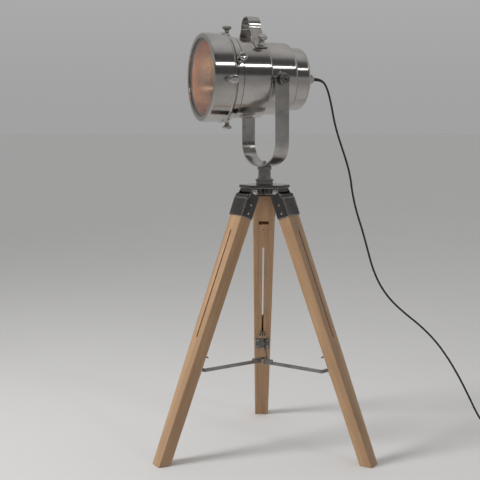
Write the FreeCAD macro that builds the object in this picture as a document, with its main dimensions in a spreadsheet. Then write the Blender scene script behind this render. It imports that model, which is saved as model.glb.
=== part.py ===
import FreeCAD, Part

import math
import os

import Sketcher

# A tripod spotlight floor lamp: a polished metal spotlight head in a U-shaped yoke, on a
# swivel above three folding wooden legs that lengthen, braced by a folding spreader.
# Millimetres and degrees. +Z is up, the origin is the floor point on the tripod's axis.
# One leg points along +Y, away from the viewer. The head looks to the left and forward.

DIMENSIONS = {
    # tripod
    "splay_angle": 20.5,       # lean of each leg from upright
    "pin_height": 763.0,       # hinge pins above the floor
    "pin_reach": 52.0,         # hinge pins from the tripod's axis
    "pin_radius": 4.0,
    "pin_head_radius": 9.5,
    "pin_head_height": 7.0,
    "leg_depth": 36.0,
    "leg_top_width": 68.0,
    "leg_foot_width": 42.6,
    "leg_edge_round": 3.0,
    "wood_drop": 14.0,         # top of the wood below the hinge pin, along the leg
    "groove_width": 29.6,      # the channel that the sliding bar runs in
    "groove_depth": 22.6,
    "groove_top": 96.0,
    "slide_gap": 0.3,
    "slot_width": 6.0,
    "slot_top": 121.0,
    "slot_length": 323.0,
    "guide_radius": 2.7,
    "slide_travel": 300.0,
    # hinge bracket
    "bracket_wall": 2.0,
    "bracket_bottom": 79.0,
    "bracket_window": 24.5,    # top of the outer plate below the pin
    "ear_radius": 9.0,
    # clamp of the sliding bar
    "stud_drop": 490.0,
    "stud_radius": 2.5,
    "stud_reach": 20.0,
    "wing_span": 27.0,
    "wing_height": 17.0,
    # hub
    "plate_lift": 10.0,        # the hub plate above the hinge pins
    "plate_thickness": 8.0,
    "plate_reach": 66.0,
    "plate_half_side": 34.0,
    "lug_gap": 0.5,
    "bolt_radius": 5.0,
    "running_gap": 0.1,
    "rest_gap": 0.3,
    # swivel
    "collar_radius": 24.5,
    "collar_height": 10.0,
    "flange_radius": 26.5,
    "flange_height": 6.0,
    "washer_height": 1.0,
    "stem_radius": 18.0,
    "stem_flange_radius": 20.5,
    "stem_height": 33.7,
    "lock_knob_radius": 6.0,
    "lock_knob_length": 11.0,
    # spreader
    "spread_pivot_drop": 528.0,    # pivot on the leg below the hinge pin, along the leg
    "spread_pivot_inset": 28.9,    # and inside the leg's inner face
    "arm_height": 10.0,
    "arm_thickness": 3.0,
    "arm_side": 9.0,               # each arm passes this far beside the tripod's axis
    "arm_pin_radius": 2.0,
    "hub_pin_reach": 27.0,
    "hub_pin_rise": 5.0,           # the hub's pins above the pivots on the legs
    "hub_disc_radius": 13.5,
    "hub_disc_height": 4.0,
    "hub_ear_thickness": 2.0,
    "hub_ear_reach": 33.0,
    # yoke
    "pan_rest": 21.0,              # the head's turn about the tripod's axis
    "boss_height": 22.7,           # spacers between the rear drum and the yoke
    "yoke_strap": 4.0,
    "yoke_width": 40.0,
    "yoke_side_bend": 55.0,
    "yoke_bend_drop": 71.0,
    "yoke_bottom": 240.0,          # inner bottom of the U below the pivots
    "tilt_bolt_radius": 4.0,
    "knob_radius": 14.5,
    "knob_length": 18.0,
    # head, along its own axis from the pivots: forward is positive
    "axis_rise": 8.0,              # the head's axis above the pivots
    "sheet_wall": 1.5,
    "drum_radius": 112.5,
    "drum_front": 101.0,
    "drum_rear": 18.0,
    "drum_round": 8.0,
    "rear_radius": 102.0,
    "rear_end": -64.0,
    "rear_round": 13.0,
    "cap_radius": 89.5,
    "cap_end": -107.0,
    "cap_round": 12.0,
    "neck_radius": 115.5,
    "neck_groove_radius": 109.0,
    "neck_front": 127.0,
    "groove_step": 4.0,
    "bezel_radius": 123.0,
    "bezel_wall": 3.0,
    "bezel_rear": 131.0,
    "bezel_front": 194.0,
    "bezel_round": 5.0,
    "bezel_lip": 14.0,
    "bead_radius": 2.5,
    "lens_thickness": 4.0,
    "lens_crown": 3.0,
    "lens_inset": 8.0,
    "reflector_radius": 105.0,
    "reflector_depth": 120.0,
    "reflector_throat": 24.0,
    "holder_radius": 20.0,
    "bulb_radius": 30.0,
    # fittings on the head
    "screw_stem_radius": 5.0,
    "screw_head_radius": 13.0,
    "screw_head_height": 6.0,
    "screw_reach": 29.0,
    "handle_strap": 3.5,
    "handle_width": 34.0,
    "handle_place": 43.0,
    "handle_top": 172.0,
    "handle_foot_angle": 39.0,
    "handle_half_gap": 31.0,
    "gland_radius": 15.5,
    "gland_body_length": 22.0,
    "gland_nut_length": 26.0,
    # cord
    "cord_radius": 3.0,
    "coil_middle_radius": 33.0,
}

doc = FreeCAD.newDocument("TripodSpotlight")
sheet = doc.addObject("Spreadsheet::Sheet", "dims")
for row, (alias, value) in enumerate(DIMENSIONS.items(), start=1):
    sheet.set(f"A{row}", alias)
    sheet.set(f"B{row}", str(value))
    sheet.setAlias(f"B{row}", alias)
doc.recompute()


class Size:
    """A length or angle with its formula in terms of the sheet's named cells."""

    def __init__(self, value, formula):
        self.value = float(value)
        self.formula = formula

    def joined(self, other, sign, result):
        return Size(result, f"({self.formula} {sign} {formula_of(other)})")

    def __add__(self, other):
        return self.joined(other, "+", self.value + number(other))

    def __sub__(self, other):
        return self.joined(other, "-", self.value - number(other))

    def __mul__(self, other):
        return self.joined(other, "*", self.value * number(other))

    def __truediv__(self, other):
        return self.joined(other, "/", self.value / number(other))

    def __neg__(self):
        return Size(-self.value, f"(0 - {self.formula})")


def number(size):
    return size.value if isinstance(size, Size) else float(size)


def formula_of(size):
    return size.formula if isinstance(size, Size) else repr(float(size))


def dim(name):
    return Size(getattr(sheet, name), f"dims.{name}")


def sine(angle):
    return Size(math.sin(math.radians(angle.value)), f"sin({angle.formula} * 1 deg)")


def cosine(angle):
    return Size(math.cos(math.radians(angle.value)), f"cos({angle.formula} * 1 deg)")


def tangent(angle):
    return sine(angle) / cosine(angle)


def bind(thing, name, size):
    """Sets a property to a size and binds it to the sheet."""
    setattr(thing, name, number(size))
    if isinstance(size, Size):
        thing.setExpression(name, size.formula)


# ---------------------------------------------------------------- outlines and solids

PLANES = {"XY": "XY_Plane", "XZ": "XZ_Plane", "YZ": "YZ_Plane"}


def origin_plane(body, plane):
    for feature in body.Origin.OriginFeatures:
        if feature.Role == PLANES[plane]:
            return feature


def arc_centre(start, end, radius, turn):
    """Centre of the short arc from start to end: turn is 1 anticlockwise, -1 clockwise."""
    middle = (start + end) * 0.5
    chord = end - start
    left = FreeCAD.Vector(-chord.y, chord.x, 0).normalize()
    rise = math.sqrt(max(radius**2 - chord.Length**2 / 4, 0.0))
    return middle + left * rise * turn


def hold(sketch, geometry, corner, axis, size):
    """Fixes one coordinate of a sketch point from the sketch's origin."""
    index = sketch.addConstraint(Sketcher.Constraint(axis, -1, 1, geometry, corner, number(size)))
    if isinstance(size, Size):
        sketch.setExpression(f"Constraints[{index}]", size.formula)


def new_sketch(body, plane, offset=0.0):
    sketch = body.newObject("Sketcher::SketchObject", body.Name + "Sketch")
    sketch.AttachmentSupport = (origin_plane(body, plane), [""])
    sketch.MapMode = "FlatFace"
    if isinstance(offset, Size):
        sketch.AttachmentOffset.Base.z = offset.value
        sketch.setExpression(".AttachmentOffset.Base.z", offset.formula)
    return sketch


def outline(sketch, corners):
    """Closes an outline. A corner (x, y, radius, turn) is reached by an arc, (x, y) by a line."""
    places = [FreeCAD.Vector(number(c[0]), number(c[1]), 0) for c in corners]
    stretches = []
    for index, corner in enumerate(corners):
        start, end = places[index - 1], places[index]
        if len(corner) == 2:
            geometry = sketch.addGeometry(Part.LineSegment(start, end), False)
            stretches.append((geometry, 1, 2))
            continue
        radius, turn = number(corner[2]), corner[3]
        centre = arc_centre(start, end, radius, turn)
        first, last = (start, end) if turn > 0 else (end, start)
        angles = [math.atan2(p.y - centre.y, p.x - centre.x) for p in (first, last)]
        if angles[1] < angles[0]:
            angles[1] += 2 * math.pi
        circle = Part.Circle(centre, FreeCAD.Vector(0, 0, 1), radius)
        geometry = sketch.addGeometry(Part.ArcOfCircle(circle, *angles), False)
        stretches.append((geometry, 1, 2) if turn > 0 else (geometry, 2, 1))
        if abs((end - start).Length / 2 - radius) < 1e-6:  # a half circle on an upright or level chord
            level = abs(end.y - start.y) < 1e-6
            hold(sketch, geometry, 3, "DistanceY" if level else "DistanceX", corner[1 if level else 0])
            continue
        held = sketch.addConstraint(Sketcher.Constraint("Radius", geometry, radius))
        if isinstance(corner[2], Size):
            sketch.setExpression(f"Constraints[{held}]", corner[2].formula)
    for index, corner in enumerate(corners):
        geometry, _, end = stretches[index]
        following, start, _ = stretches[(index + 1) % len(corners)]
        sketch.addConstraint(Sketcher.Constraint("Coincident", geometry, end, following, start))
        hold(sketch, geometry, end, "DistanceX", corner[0])
        hold(sketch, geometry, end, "DistanceY", corner[1])


def hole_in(sketch, x, y, radius):
    centre = FreeCAD.Vector(number(x), number(y), 0)
    circle = Part.Circle(centre, FreeCAD.Vector(0, 0, 1), number(radius))
    geometry = sketch.addGeometry(circle, False)
    held = sketch.addConstraint(Sketcher.Constraint("Radius", geometry, number(radius)))
    if isinstance(radius, Size):
        sketch.setExpression(f"Constraints[{held}]", radius.formula)
    hold(sketch, geometry, 3, "DistanceX", x)
    hold(sketch, geometry, 3, "DistanceY", y)


def padded(name, plane, corners, thickness, holes=(), centred=True, offset=0.0):
    """A body padded from one outline, with round holes (x, y, radius)."""
    body = doc.addObject("PartDesign::Body", name)
    sketch = new_sketch(body, plane, offset)
    outline(sketch, corners)
    for hole in holes:
        hole_in(sketch, *hole)
    pad = body.newObject("PartDesign::Pad", name + "Pad")
    pad.Profile = sketch
    bind(pad, "Length", thickness)
    pad.Midplane = centred
    return body


def revolved(name, corners):
    """A body turned about its own Z axis from an outline of (radius, height) corners."""
    body = doc.addObject("PartDesign::Body", name)
    sketch = new_sketch(body, "XZ")
    outline(sketch, corners)
    turned = body.newObject("PartDesign::Revolution", name + "Turned")
    turned.Profile = sketch
    turned.ReferenceAxis = (sketch, ["V_Axis"])
    turned.Angle = 360
    return body


def rounded(body, radius, choose):
    """Rounds the edges of the body's last feature that choose(edge) picks."""
    doc.recompute()
    last = body.Tip
    names = [f"Edge{i}" for i, edge in enumerate(last.Shape.Edges, start=1) if choose(edge)]
    fillet = body.newObject("PartDesign::Fillet", body.Name + "Round")
    fillet.Base = (last, names)
    bind(fillet, "Radius", radius)
    return body


def cylinder(name, radius, height, at=(0, 0, 0), axis="Z"):
    """A cylinder that starts at a point and runs along +X, +Y or +Z."""
    solid = doc.addObject("Part::Cylinder", name)
    bind(solid, "Radius", radius)
    bind(solid, "Height", height)
    solid.Placement = FreeCAD.Placement(vector(at), TURNS[axis])
    return solid


def block(name, sizes, at):
    """A box of three sizes whose lowest corner is at a point."""
    solid = doc.addObject("Part::Box", name)
    for prop, size in zip(("Length", "Width", "Height"), sizes):
        bind(solid, prop, size)
    solid.Placement = FreeCAD.Placement(vector(at), FreeCAD.Rotation())
    return solid


def vector(at):
    return FreeCAD.Vector(*[number(size) for size in at])


TURNS = {
    "Z": FreeCAD.Rotation(),
    "X": FreeCAD.Rotation(FreeCAD.Vector(0, 1, 0), 90),
    "Y": FreeCAD.Rotation(FreeCAD.Vector(1, 0, 0), -90),
}


def cut(base, *tools):
    for tool in tools:
        result = doc.addObject("Part::Cut", base.Name + "Cut")
        result.Base = base
        result.Tool = tool
        base = result
    return base


def common(first, second):
    result = doc.addObject("Part::Common", first.Name + "Common")
    result.Base = first
    result.Tool = second
    return result


def fused(*solids):
    result = doc.addObject("Part::MultiFuse", solids[0].Name + "Fused")
    result.Shapes = list(solids)
    return result


def group(*solids):
    result = doc.addObject("Part::Compound", solids[0].Name + "Group")
    result.Links = list(solids)
    return result


nodes = []


def node(label, solid, placement=None):
    """Names a finished sub-part and puts it in its place."""
    solid.Label = label
    if placement is not None:
        solid.Placement = placement
    nodes.append(solid)
    return solid


# ---------------------------------------------------------------- frames


def placed(at=(0, 0, 0), rotation=None):
    return FreeCAD.Placement(vector(at), rotation or FreeCAD.Rotation())


def turn_about(axis, angle):
    axes = {"X": (1, 0, 0), "Y": (0, 1, 0), "Z": (0, 0, 1)}
    return FreeCAD.Rotation(FreeCAD.Vector(*axes[axis]), number(angle))


SIDES = {"back": 0.0, "right": 120.0, "left": 240.0}  # clockwise from +Y, seen from above


def side_frame(side):
    """Frame with +Y out along one leg and +X across it, on the tripod's axis."""
    return placed(rotation=turn_about("Z", -SIDES[side]))


def leg_frame(side):
    """Origin at the hinge pin: +X along the pin, +Y out of the leg's outer face, +Z up the leg."""
    hinge = placed((0, pin_reach, pin_height), turn_about("X", splay))
    return side_frame(side).multiply(hinge)


def root(size):
    return Size(math.sqrt(size.value), f"sqrt({size.formula})")


# ---------------------------------------------------------------- legs

splay = dim("splay_angle")
pin_height = dim("pin_height")
pin_reach = dim("pin_reach")
leg_depth = dim("leg_depth")
half_depth = leg_depth / 2
rest_gap = dim("rest_gap")
running_gap = dim("running_gap")
foot_drop = pin_height / cosine(splay) + half_depth * tangent(splay)
leg_taper = (dim("leg_top_width") - dim("leg_foot_width")) / 2 / (foot_drop - dim("wood_drop"))
FIT = 0.05  # a fixed pin's play in its hole


def leg_half(drop):
    """Half of the leg's width at a distance below the hinge pin."""
    return dim("leg_foot_width") / 2 + (foot_drop - drop) * leg_taper


def floor_wedge(name):
    """The part of a leg below the floor: the foot is cut level."""
    reach = leg_depth
    middle = pin_height / cosine(splay)
    rise = reach * tangent(splay)
    corners = [
        (reach, -(middle + rise)),
        (-reach, rise - middle),
        (-reach, -(middle + rise * 2)),
        (reach, -(middle + rise * 2)),
    ]
    return padded(name, "YZ", corners, dim("leg_top_width") * 2)


def long_slot(name, width, top, bottom, through):
    """A slot with round ends, for cutting along Y."""
    half = width / 2
    body = doc.addObject("PartDesign::Body", name)
    sketch = new_sketch(body, "XZ")
    outline(sketch, [
        (half, -(bottom - half), half, 1),
        (half, -(top + half)),
        (-half, -(top + half), half, 1),
        (-half, -(bottom - half)),
    ])
    pad = body.newObject("PartDesign::Pad", name + "Pad")
    pad.Profile = sketch
    bind(pad, "Length", through)
    pad.Midplane = True
    return body


def leg_channel(side):
    top = leg_half(dim("wood_drop"))
    foot = leg_half(foot_drop)
    corners = [
        (top, -dim("wood_drop")),
        (-top, -dim("wood_drop")),
        (-foot, -foot_drop),
        (foot, -foot_drop),
    ]
    name = "Channel" + side
    wood = padded(name, "XZ", corners, leg_depth)
    rounded(wood, dim("leg_edge_round"), lambda edge: edge.Length > number(pin_height) / 2)
    groove = block(
        name + "Groove",
        (dim("groove_width"), dim("groove_depth") + half_depth, foot_drop),
        (-dim("groove_width") / 2, -leg_depth, -(foot_drop + dim("groove_top"))),
    )
    slot_bottom = dim("slot_top") + dim("slot_length")
    slot = long_slot(name + "Slot", dim("slot_width"), dim("slot_top"), slot_bottom, leg_depth * 2)
    hole = cylinder(
        name + "StudHole",
        dim("stud_radius") + FIT,
        stud_end + half_depth,
        (0, -half_depth, -dim("stud_drop")),
        "Y",
    )
    return node("leg_channel_" + side, cut(wood, groove, slot, hole, floor_wedge(name + "Floor")),
                leg_frame(side))


groove_floor = dim("groove_depth") - half_depth      # along the leg's Y
stud_end = groove_floor + (half_depth - groove_floor) * 0.6
bar_face = rest_gap - half_depth


def leg_slider(side):
    """The bar that slides down inside the channel, with the slot that its clamp stud runs in."""
    name = "Slider" + side
    width = dim("groove_width") - dim("slide_gap") * 2
    thickness = dim("groove_depth") - dim("slide_gap") * 2
    length = foot_drop - bar_top
    bar = block(name, (width, thickness, length), (-width / 2, bar_face, -foot_drop))
    slot_width = dim("stud_radius") * 2 + rest_gap * 2
    slot_top = dim("stud_drop") - dim("slide_travel") - slot_width
    slot = long_slot(
        name + "Slot", slot_width, slot_top, dim("stud_drop") + slot_width / 2, leg_depth * 2
    )
    hole = cylinder(name + "GuideHole", dim("guide_radius") + FIT, leg_depth,
                    (0, -half_depth, -guide_drop), "Y")
    return node("leg_slider_" + side, cut(bar, slot, hole, floor_wedge(name + "Floor")),
                leg_frame(side))


guide_drop = dim("slot_top") + dim("slot_width") / 2
bar_top = guide_drop - dim("guide_radius") * 6


def guide_bolt(side):
    """Runs in the outer face's slot and keeps the bar in its channel."""
    bolt = cylinder("Guide" + side, dim("guide_radius"), leg_depth * 0.9)
    start = placed((0, -half_depth + leg_depth * 0.07, -guide_drop), TURNS["Y"])
    return node("guide_bolt_" + side, bolt, leg_frame(side).multiply(start))


def leg_bracket(side):
    """A bent metal cap: two cheeks with ears round the hinge pin, and a plate outside."""
    name = "Bracket" + side
    wall = dim("bracket_wall")
    ear = dim("ear_radius")
    low = dim("bracket_bottom")
    upper, lower = leg_half(-ear), leg_half(low)
    outer = [
        (upper + wall, ear),
        (-(upper + wall), ear),
        (-(lower + wall), -low),
        (lower + wall, -low),
    ]
    inner = [(upper, ear), (-upper, ear), (-lower, -low), (lower, -low)]
    side_view = [
        (ear, 0),
        (-ear, 0, ear, 1),
        (-half_depth, -dim("wood_drop")),
        (-half_depth, -low),
        (half_depth + wall, -low),
        (half_depth + wall, -dim("bracket_window")),
        (half_depth, -dim("bracket_window")),
    ]
    blank = padded(name, "XZ", outer, leg_depth * 2)
    profile = padded(name + "Side", "YZ", side_view, dim("leg_top_width") * 2)
    inside = padded(name + "Inside", "XZ", inner, leg_depth)
    hole = cylinder(name + "Hole", dim("pin_radius") + FIT, dim("leg_top_width") * 2,
                    (-dim("leg_top_width"), 0, 0), "X")
    return node("leg_bracket_" + side, cut(common(blank, profile), inside, hole), leg_frame(side))


def hinge_pin(side):
    """A bolt with a domed head and a domed nut, along the leg's X, clear of the tapered cheeks."""
    half = leg_half(-dim("ear_radius")) + dim("bracket_wall") + FIT
    radius, head, rise = dim("pin_radius"), dim("pin_head_radius"), dim("pin_head_height")
    dome = (head * head + rise * rise) / (rise * 2)
    pin = revolved("HingePin" + side, [
        (0, -(half + rise)),
        (head, -half, dome, 1),
        (radius, -half),
        (radius, half),
        (head, half),
        (0, half + rise, dome, 1),
    ])
    return node("hinge_pin_" + side, pin, leg_frame(side).multiply(placed(rotation=TURNS["X"])))


WASHER = 1.2  # thickness of the small washers


def clamp_stud(side):
    name = "Stud" + side
    length = dim("stud_reach") + half_depth + stud_end
    stud = cylinder(name, dim("stud_radius"), length)
    inner, outer = dim("stud_radius") + running_gap, dim("stud_radius") * 3.2
    start = dim("stud_reach") - WASHER
    ring = revolved(name + "Washer", [
        (inner, start), (outer, start), (outer, start + WASHER), (inner, start + WASHER),
    ])
    place = placed((0, -(half_depth + dim("stud_reach")), -dim("stud_drop")), TURNS["Y"])
    return node("clamp_stud_" + side, group(stud, ring), leg_frame(side).multiply(place))


def wing_nut(side):
    """A turned hub with two swept wings."""
    name = "Wing" + side
    span, height = dim("wing_span") / 2, dim("wing_height")
    bore = dim("stud_radius") + running_gap
    hub = revolved(name, [
        (bore, 0),
        (bore * 2.5, 0),
        (bore * 1.8, height * 0.5),
        (bore, height * 0.5),
    ])
    wings = padded(name + "Blades", "XZ", [
        (bore * 2, height * 0.08),
        (span, height * 0.62),
        (span * 0.62, height, span * 0.4, 1),
        (bore * 1.2, height * 0.42),
        (-(bore * 1.2), height * 0.42),
        (-(span * 0.62), height),
        (-span, height * 0.62, span * 0.4, 1),
        (-(bore * 2), height * 0.08),
    ], bore)
    hole = cylinder(name + "Bore", bore, height * 2, (0, 0, -height / 2))
    place = placed((0, -(half_depth + WASHER + rest_gap), -dim("stud_drop")), turn_about("X", 90))
    nut = cut(fused(hub, wings), hole)
    return node("wing_nut_" + side, nut, leg_frame(side).multiply(place))


# ---------------------------------------------------------------- spreader

arm_side = dim("arm_side")
pivot_y = -(half_depth + dim("spread_pivot_inset"))   # spreader pivot in the leg's frame
pivot_drop = dim("spread_pivot_drop")
pivot_reach = pin_reach + pivot_y * cosine(splay) + pivot_drop * sine(splay)
pivot_level = pin_height + pivot_y * sine(splay) - pivot_drop * cosine(splay)
arm_fall = pivot_reach - dim("hub_pin_reach")
arm_rise = dim("hub_pin_rise")
hub_level = pivot_level + arm_rise
arm_length = root(arm_fall * arm_fall + arm_rise * arm_rise)
slot_half = dim("arm_thickness") / 2 + rest_gap


def spreader_bracket(side):
    """A plate on the leg's inner face with two lugs and a riveted pin for the arm."""
    name = "ArmBracket" + side
    end = dim("arm_height") / 2
    lug = dim("hub_ear_thickness")
    plate_wall = lug * 0.8
    width, height = leg_half(pivot_drop) * 1.7, end * 7
    plate = block(name, (width, plate_wall, height),
                  (-width / 2, -(half_depth + plate_wall), -(pivot_drop + height / 2)))
    sides = padded(name + "Lugs", "YZ", [
        (-(half_depth + plate_wall / 2), -(pivot_drop + end)),
        (-(half_depth + plate_wall / 2), end - pivot_drop),
        (pivot_y, end - pivot_drop),
        (pivot_y, -(pivot_drop + end), end, 1),
    ], (slot_half + lug) * 2, offset=arm_side)
    slot = block(name + "Gap", (slot_half * 2, leg_depth * 2, height),
                 (arm_side - slot_half, -(half_depth + plate_wall + leg_depth * 2),
                  -(pivot_drop + height / 2)))
    pin_half = slot_half + lug * 1.7
    pin = cylinder(name + "Pin", dim("arm_pin_radius"), pin_half * 2,
                   (arm_side - pin_half, pivot_y, -pivot_drop), "X")
    return node("spreader_bracket_" + side, fused(plate, cut(sides, slot), pin), leg_frame(side))


def spreader_arm(side):
    end = dim("arm_height") / 2
    hole = dim("arm_pin_radius") + running_gap
    arm = padded("Arm" + side, "XZ", [
        (0, -end, end, 1),
        (arm_length, -end),
        (arm_length, end, end, 1),
        (0, end),
    ], dim("arm_thickness"), holes=[(0, 0, hole), (arm_length, 0, hole)])
    lift = math.degrees(math.asin(number(arm_rise) / number(arm_length)))
    turned = turn_about("Z", -90).multiply(turn_about("Y", -lift))
    start = placed((arm_side, pivot_reach, pivot_level), turned)
    return node("spreader_arm_" + side, arm, side_frame(side).multiply(start))


def spreader_hub():
    """A small disc above the arms' inner ends, with a pair of hanging ears for each arm."""
    end = dim("arm_height") / 2
    under = end + rest_gap * 2
    disc = revolved("HubDisc", [
        (0, under),
        (dim("hub_disc_radius"), under),
        (dim("hub_disc_radius"), under + dim("hub_disc_height")),
        (0, under + dim("hub_disc_height")),
    ])
    ears = []
    thickness = dim("hub_ear_thickness")
    height = under + dim("hub_disc_height") + end
    for side in SIDES:
        for edge in (arm_side + slot_half, arm_side - slot_half - thickness):
            ear = block("HubEar", (thickness, dim("hub_ear_reach") - end, height), (0, 0, 0))
            ear.Placement = side_frame(side).multiply(placed((edge, end, -end)))
            ears.append(ear)
    return node("spreader_hub", fused(disc, *ears), placed((0, 0, hub_level)))


def hub_rivets():
    """Rivet heads on the outer faces of the hub's ears."""
    rivets = []
    reach = slot_half + dim("hub_ear_thickness")
    for side in SIDES:
        for edge in (arm_side + reach, arm_side - reach - WASHER):
            rivet = cylinder("HubRivet", dim("arm_pin_radius") * 1.7, WASHER)
            rivet.Placement = side_frame(side).multiply(
                placed((edge, dim("hub_pin_reach"), hub_level), TURNS["X"])
            )
            rivets.append(rivet)
    return node("hub_rivets", group(*rivets))


# ---------------------------------------------------------------- hub and swivel

plate_bottom = pin_height + dim("plate_lift")
plate_top = plate_bottom + dim("plate_thickness")
collar_top = plate_top + dim("collar_height") + dim("flange_height")
stem_foot = collar_top + dim("washer_height") + rest_gap
strap_foot = stem_foot + dim("stem_height")
pivot_height = strap_foot + dim("yoke_strap") + dim("yoke_bottom")
yoke_inside = dim("rear_radius") + dim("boss_height") + rest_gap
yoke_half = yoke_inside + dim("yoke_strap") / 2  # to the middle of the strap


def hub_plate():
    """A three-sided plate with cut corners, and a lug below each side for a leg's hinge pin."""
    body = doc.addObject("PartDesign::Body", "HubPlate")
    sketch = new_sketch(body, "XY", plate_bottom)
    corners = []
    for side in SIDES.values():
        turn = Size(side, repr(-side))
        turn_x, turn_y = cosine(turn), sine(turn)
        for edge in (dim("plate_half_side"), -dim("plate_half_side")):
            corners.append((
                turn_x * edge + turn_y * dim("plate_reach"),
                turn_x * dim("plate_reach") - turn_y * edge,
            ))
    outline(sketch, corners)
    pad = body.newObject("PartDesign::Pad", "HubPlatePad")
    pad.Profile = sketch
    bind(pad, "Length", dim("plate_thickness"))
    rounded(body, dim("plate_thickness") * 0.9,
            lambda edge: abs(edge.tangentAt(edge.FirstParameter).z) > 0.9)
    rounded(body, dim("plate_thickness") * 0.25,
            lambda edge: edge.BoundBox.ZMin > number(plate_top) - 0.01)
    ear, start = dim("ear_radius"), dim("stem_radius") * 0.5
    lugs = []
    for side in SIDES:
        lug = padded("Lug" + side, "YZ", [
            (start, plate_bottom),
            (start, pin_height - ear),
            (pin_reach, pin_height - ear),
            (pin_reach + ear, pin_height, ear, 1),
            (pin_reach + ear, plate_bottom),
        ], (leg_half(0) - dim("lug_gap")) * 2,
            holes=[(pin_reach, pin_height, dim("pin_radius") + running_gap)])
        lug.Placement = side_frame(side)
        lugs.append(lug)
    recess = cylinder("BoltRecess", bolt_head + rest_gap, bolt_head_top - pin_height + ear * 2,
                      (0, 0, pin_height - ear * 2))
    hole = cylinder("BoltHole", dim("bolt_radius") + FIT, plate_top, (0, 0, pin_height - ear * 2))
    return node("hub_plate", cut(fused(body, *lugs), recess, hole))


bolt_head = dim("bolt_radius") * 1.8
bolt_head_top = plate_bottom - dim("plate_thickness") * 0.5
nut_foot = strap_foot + dim("yoke_strap") + rest_gap


def swivel_bolt():
    """Holds the yoke on the hub: its head is up in the hub's recess."""
    radius, head = dim("bolt_radius"), bolt_head
    bolt = revolved("SwivelBolt", [
        (0, bolt_head_top - radius * 1.3),
        (head, bolt_head_top - radius * 1.3),
        (head, bolt_head_top),
        (radius, bolt_head_top),
        (radius, nut_foot + radius * 2),
        (0, nut_foot + radius * 2),
    ])
    return node("swivel_bolt", bolt)


def swivel_collar():
    bore = dim("bolt_radius") + FIT
    flange_foot = plate_top + dim("collar_height")
    collar = revolved("Collar", [
        (bore, plate_top),
        (dim("collar_radius"), plate_top),
        (dim("collar_radius"), flange_foot),
        (dim("flange_radius"), flange_foot + dim("flange_height") / 3),
        (dim("flange_radius"), collar_top),
        (bore, collar_top),
    ])
    return node("swivel_collar", collar)


def swivel_washer():
    bore = dim("bolt_radius") + FIT
    ring = revolved("SwivelWasher", [
        (bore, collar_top),
        (dim("stem_flange_radius"), collar_top),
        (dim("stem_flange_radius"), collar_top + dim("washer_height")),
        (bore, collar_top + dim("washer_height")),
    ])
    return node("swivel_washer", ring)


def swivel_stem():
    """The turned post under the yoke, waisted between two flanges."""
    bore = dim("bolt_radius") + running_gap
    flange, waist = dim("stem_flange_radius"), dim("stem_radius")
    rim = dim("flange_height") / 2
    stem = revolved("Stem", [
        (bore, stem_foot),
        (flange, stem_foot),
        (flange, stem_foot + rim),
        (waist, stem_foot + rim * 2),
        (waist, strap_foot - rim * 4),
        (waist * 0.9, strap_foot - rim * 3.5),
        (waist * 0.9, strap_foot - rim * 3),
        (flange, strap_foot - rim * 3),
        (flange, strap_foot),
        (bore, strap_foot),
    ])
    return node("swivel_stem", stem)


def hexagon(radius):
    """Corners of a hexagon of a given corner radius."""
    return [
        (radius * math.cos(math.radians(60 * step)), radius * math.sin(math.radians(60 * step)))
        for step in range(6)
    ]


def swivel_nut():
    """A low domed nut on the bolt's end, inside the U, clear of the bezel as it tilts past."""
    bore = dim("bolt_radius") + FIT
    size = dim("bolt_radius") * 1.7
    height = size * 0.7
    body = padded("SwivelNut", "XY", hexagon(size), height, centred=False)
    flat = size * math.cos(math.radians(30))
    dome = revolved("NutDome", [
        (0, height), (flat * 0.95, height), (0, size * 1.6, flat * 1.01, 1),
    ])
    hole = cylinder("NutBore", bore, dim("bolt_radius") * 2 + FIT)
    return node("swivel_nut", cut(fused(body, dome), hole), placed((0, 0, nut_foot)))


def lock_knob():
    """The small knob in front of the collar that locks the swivel."""
    radius, length = dim("lock_knob_radius"), dim("lock_knob_length")
    knob = revolved("LockKnob", [
        (0, 0),
        (radius * 0.45, 0),
        (radius * 0.45, length * 0.35),
        (radius, length * 0.35),
        (radius, length * 0.9),
        (radius * 0.85, length),
        (0, length),
    ])
    start = dim("collar_radius") + rest_gap
    level = plate_top + radius + rest_gap * 2
    return node("swivel_lock_knob", knob, placed((0, -start, level), turn_about("X", 90)))


# ---------------------------------------------------------------- yoke

yoke_frame = placed((0, 0, pivot_height), turn_about("Z", dim("pan_rest")))


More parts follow.
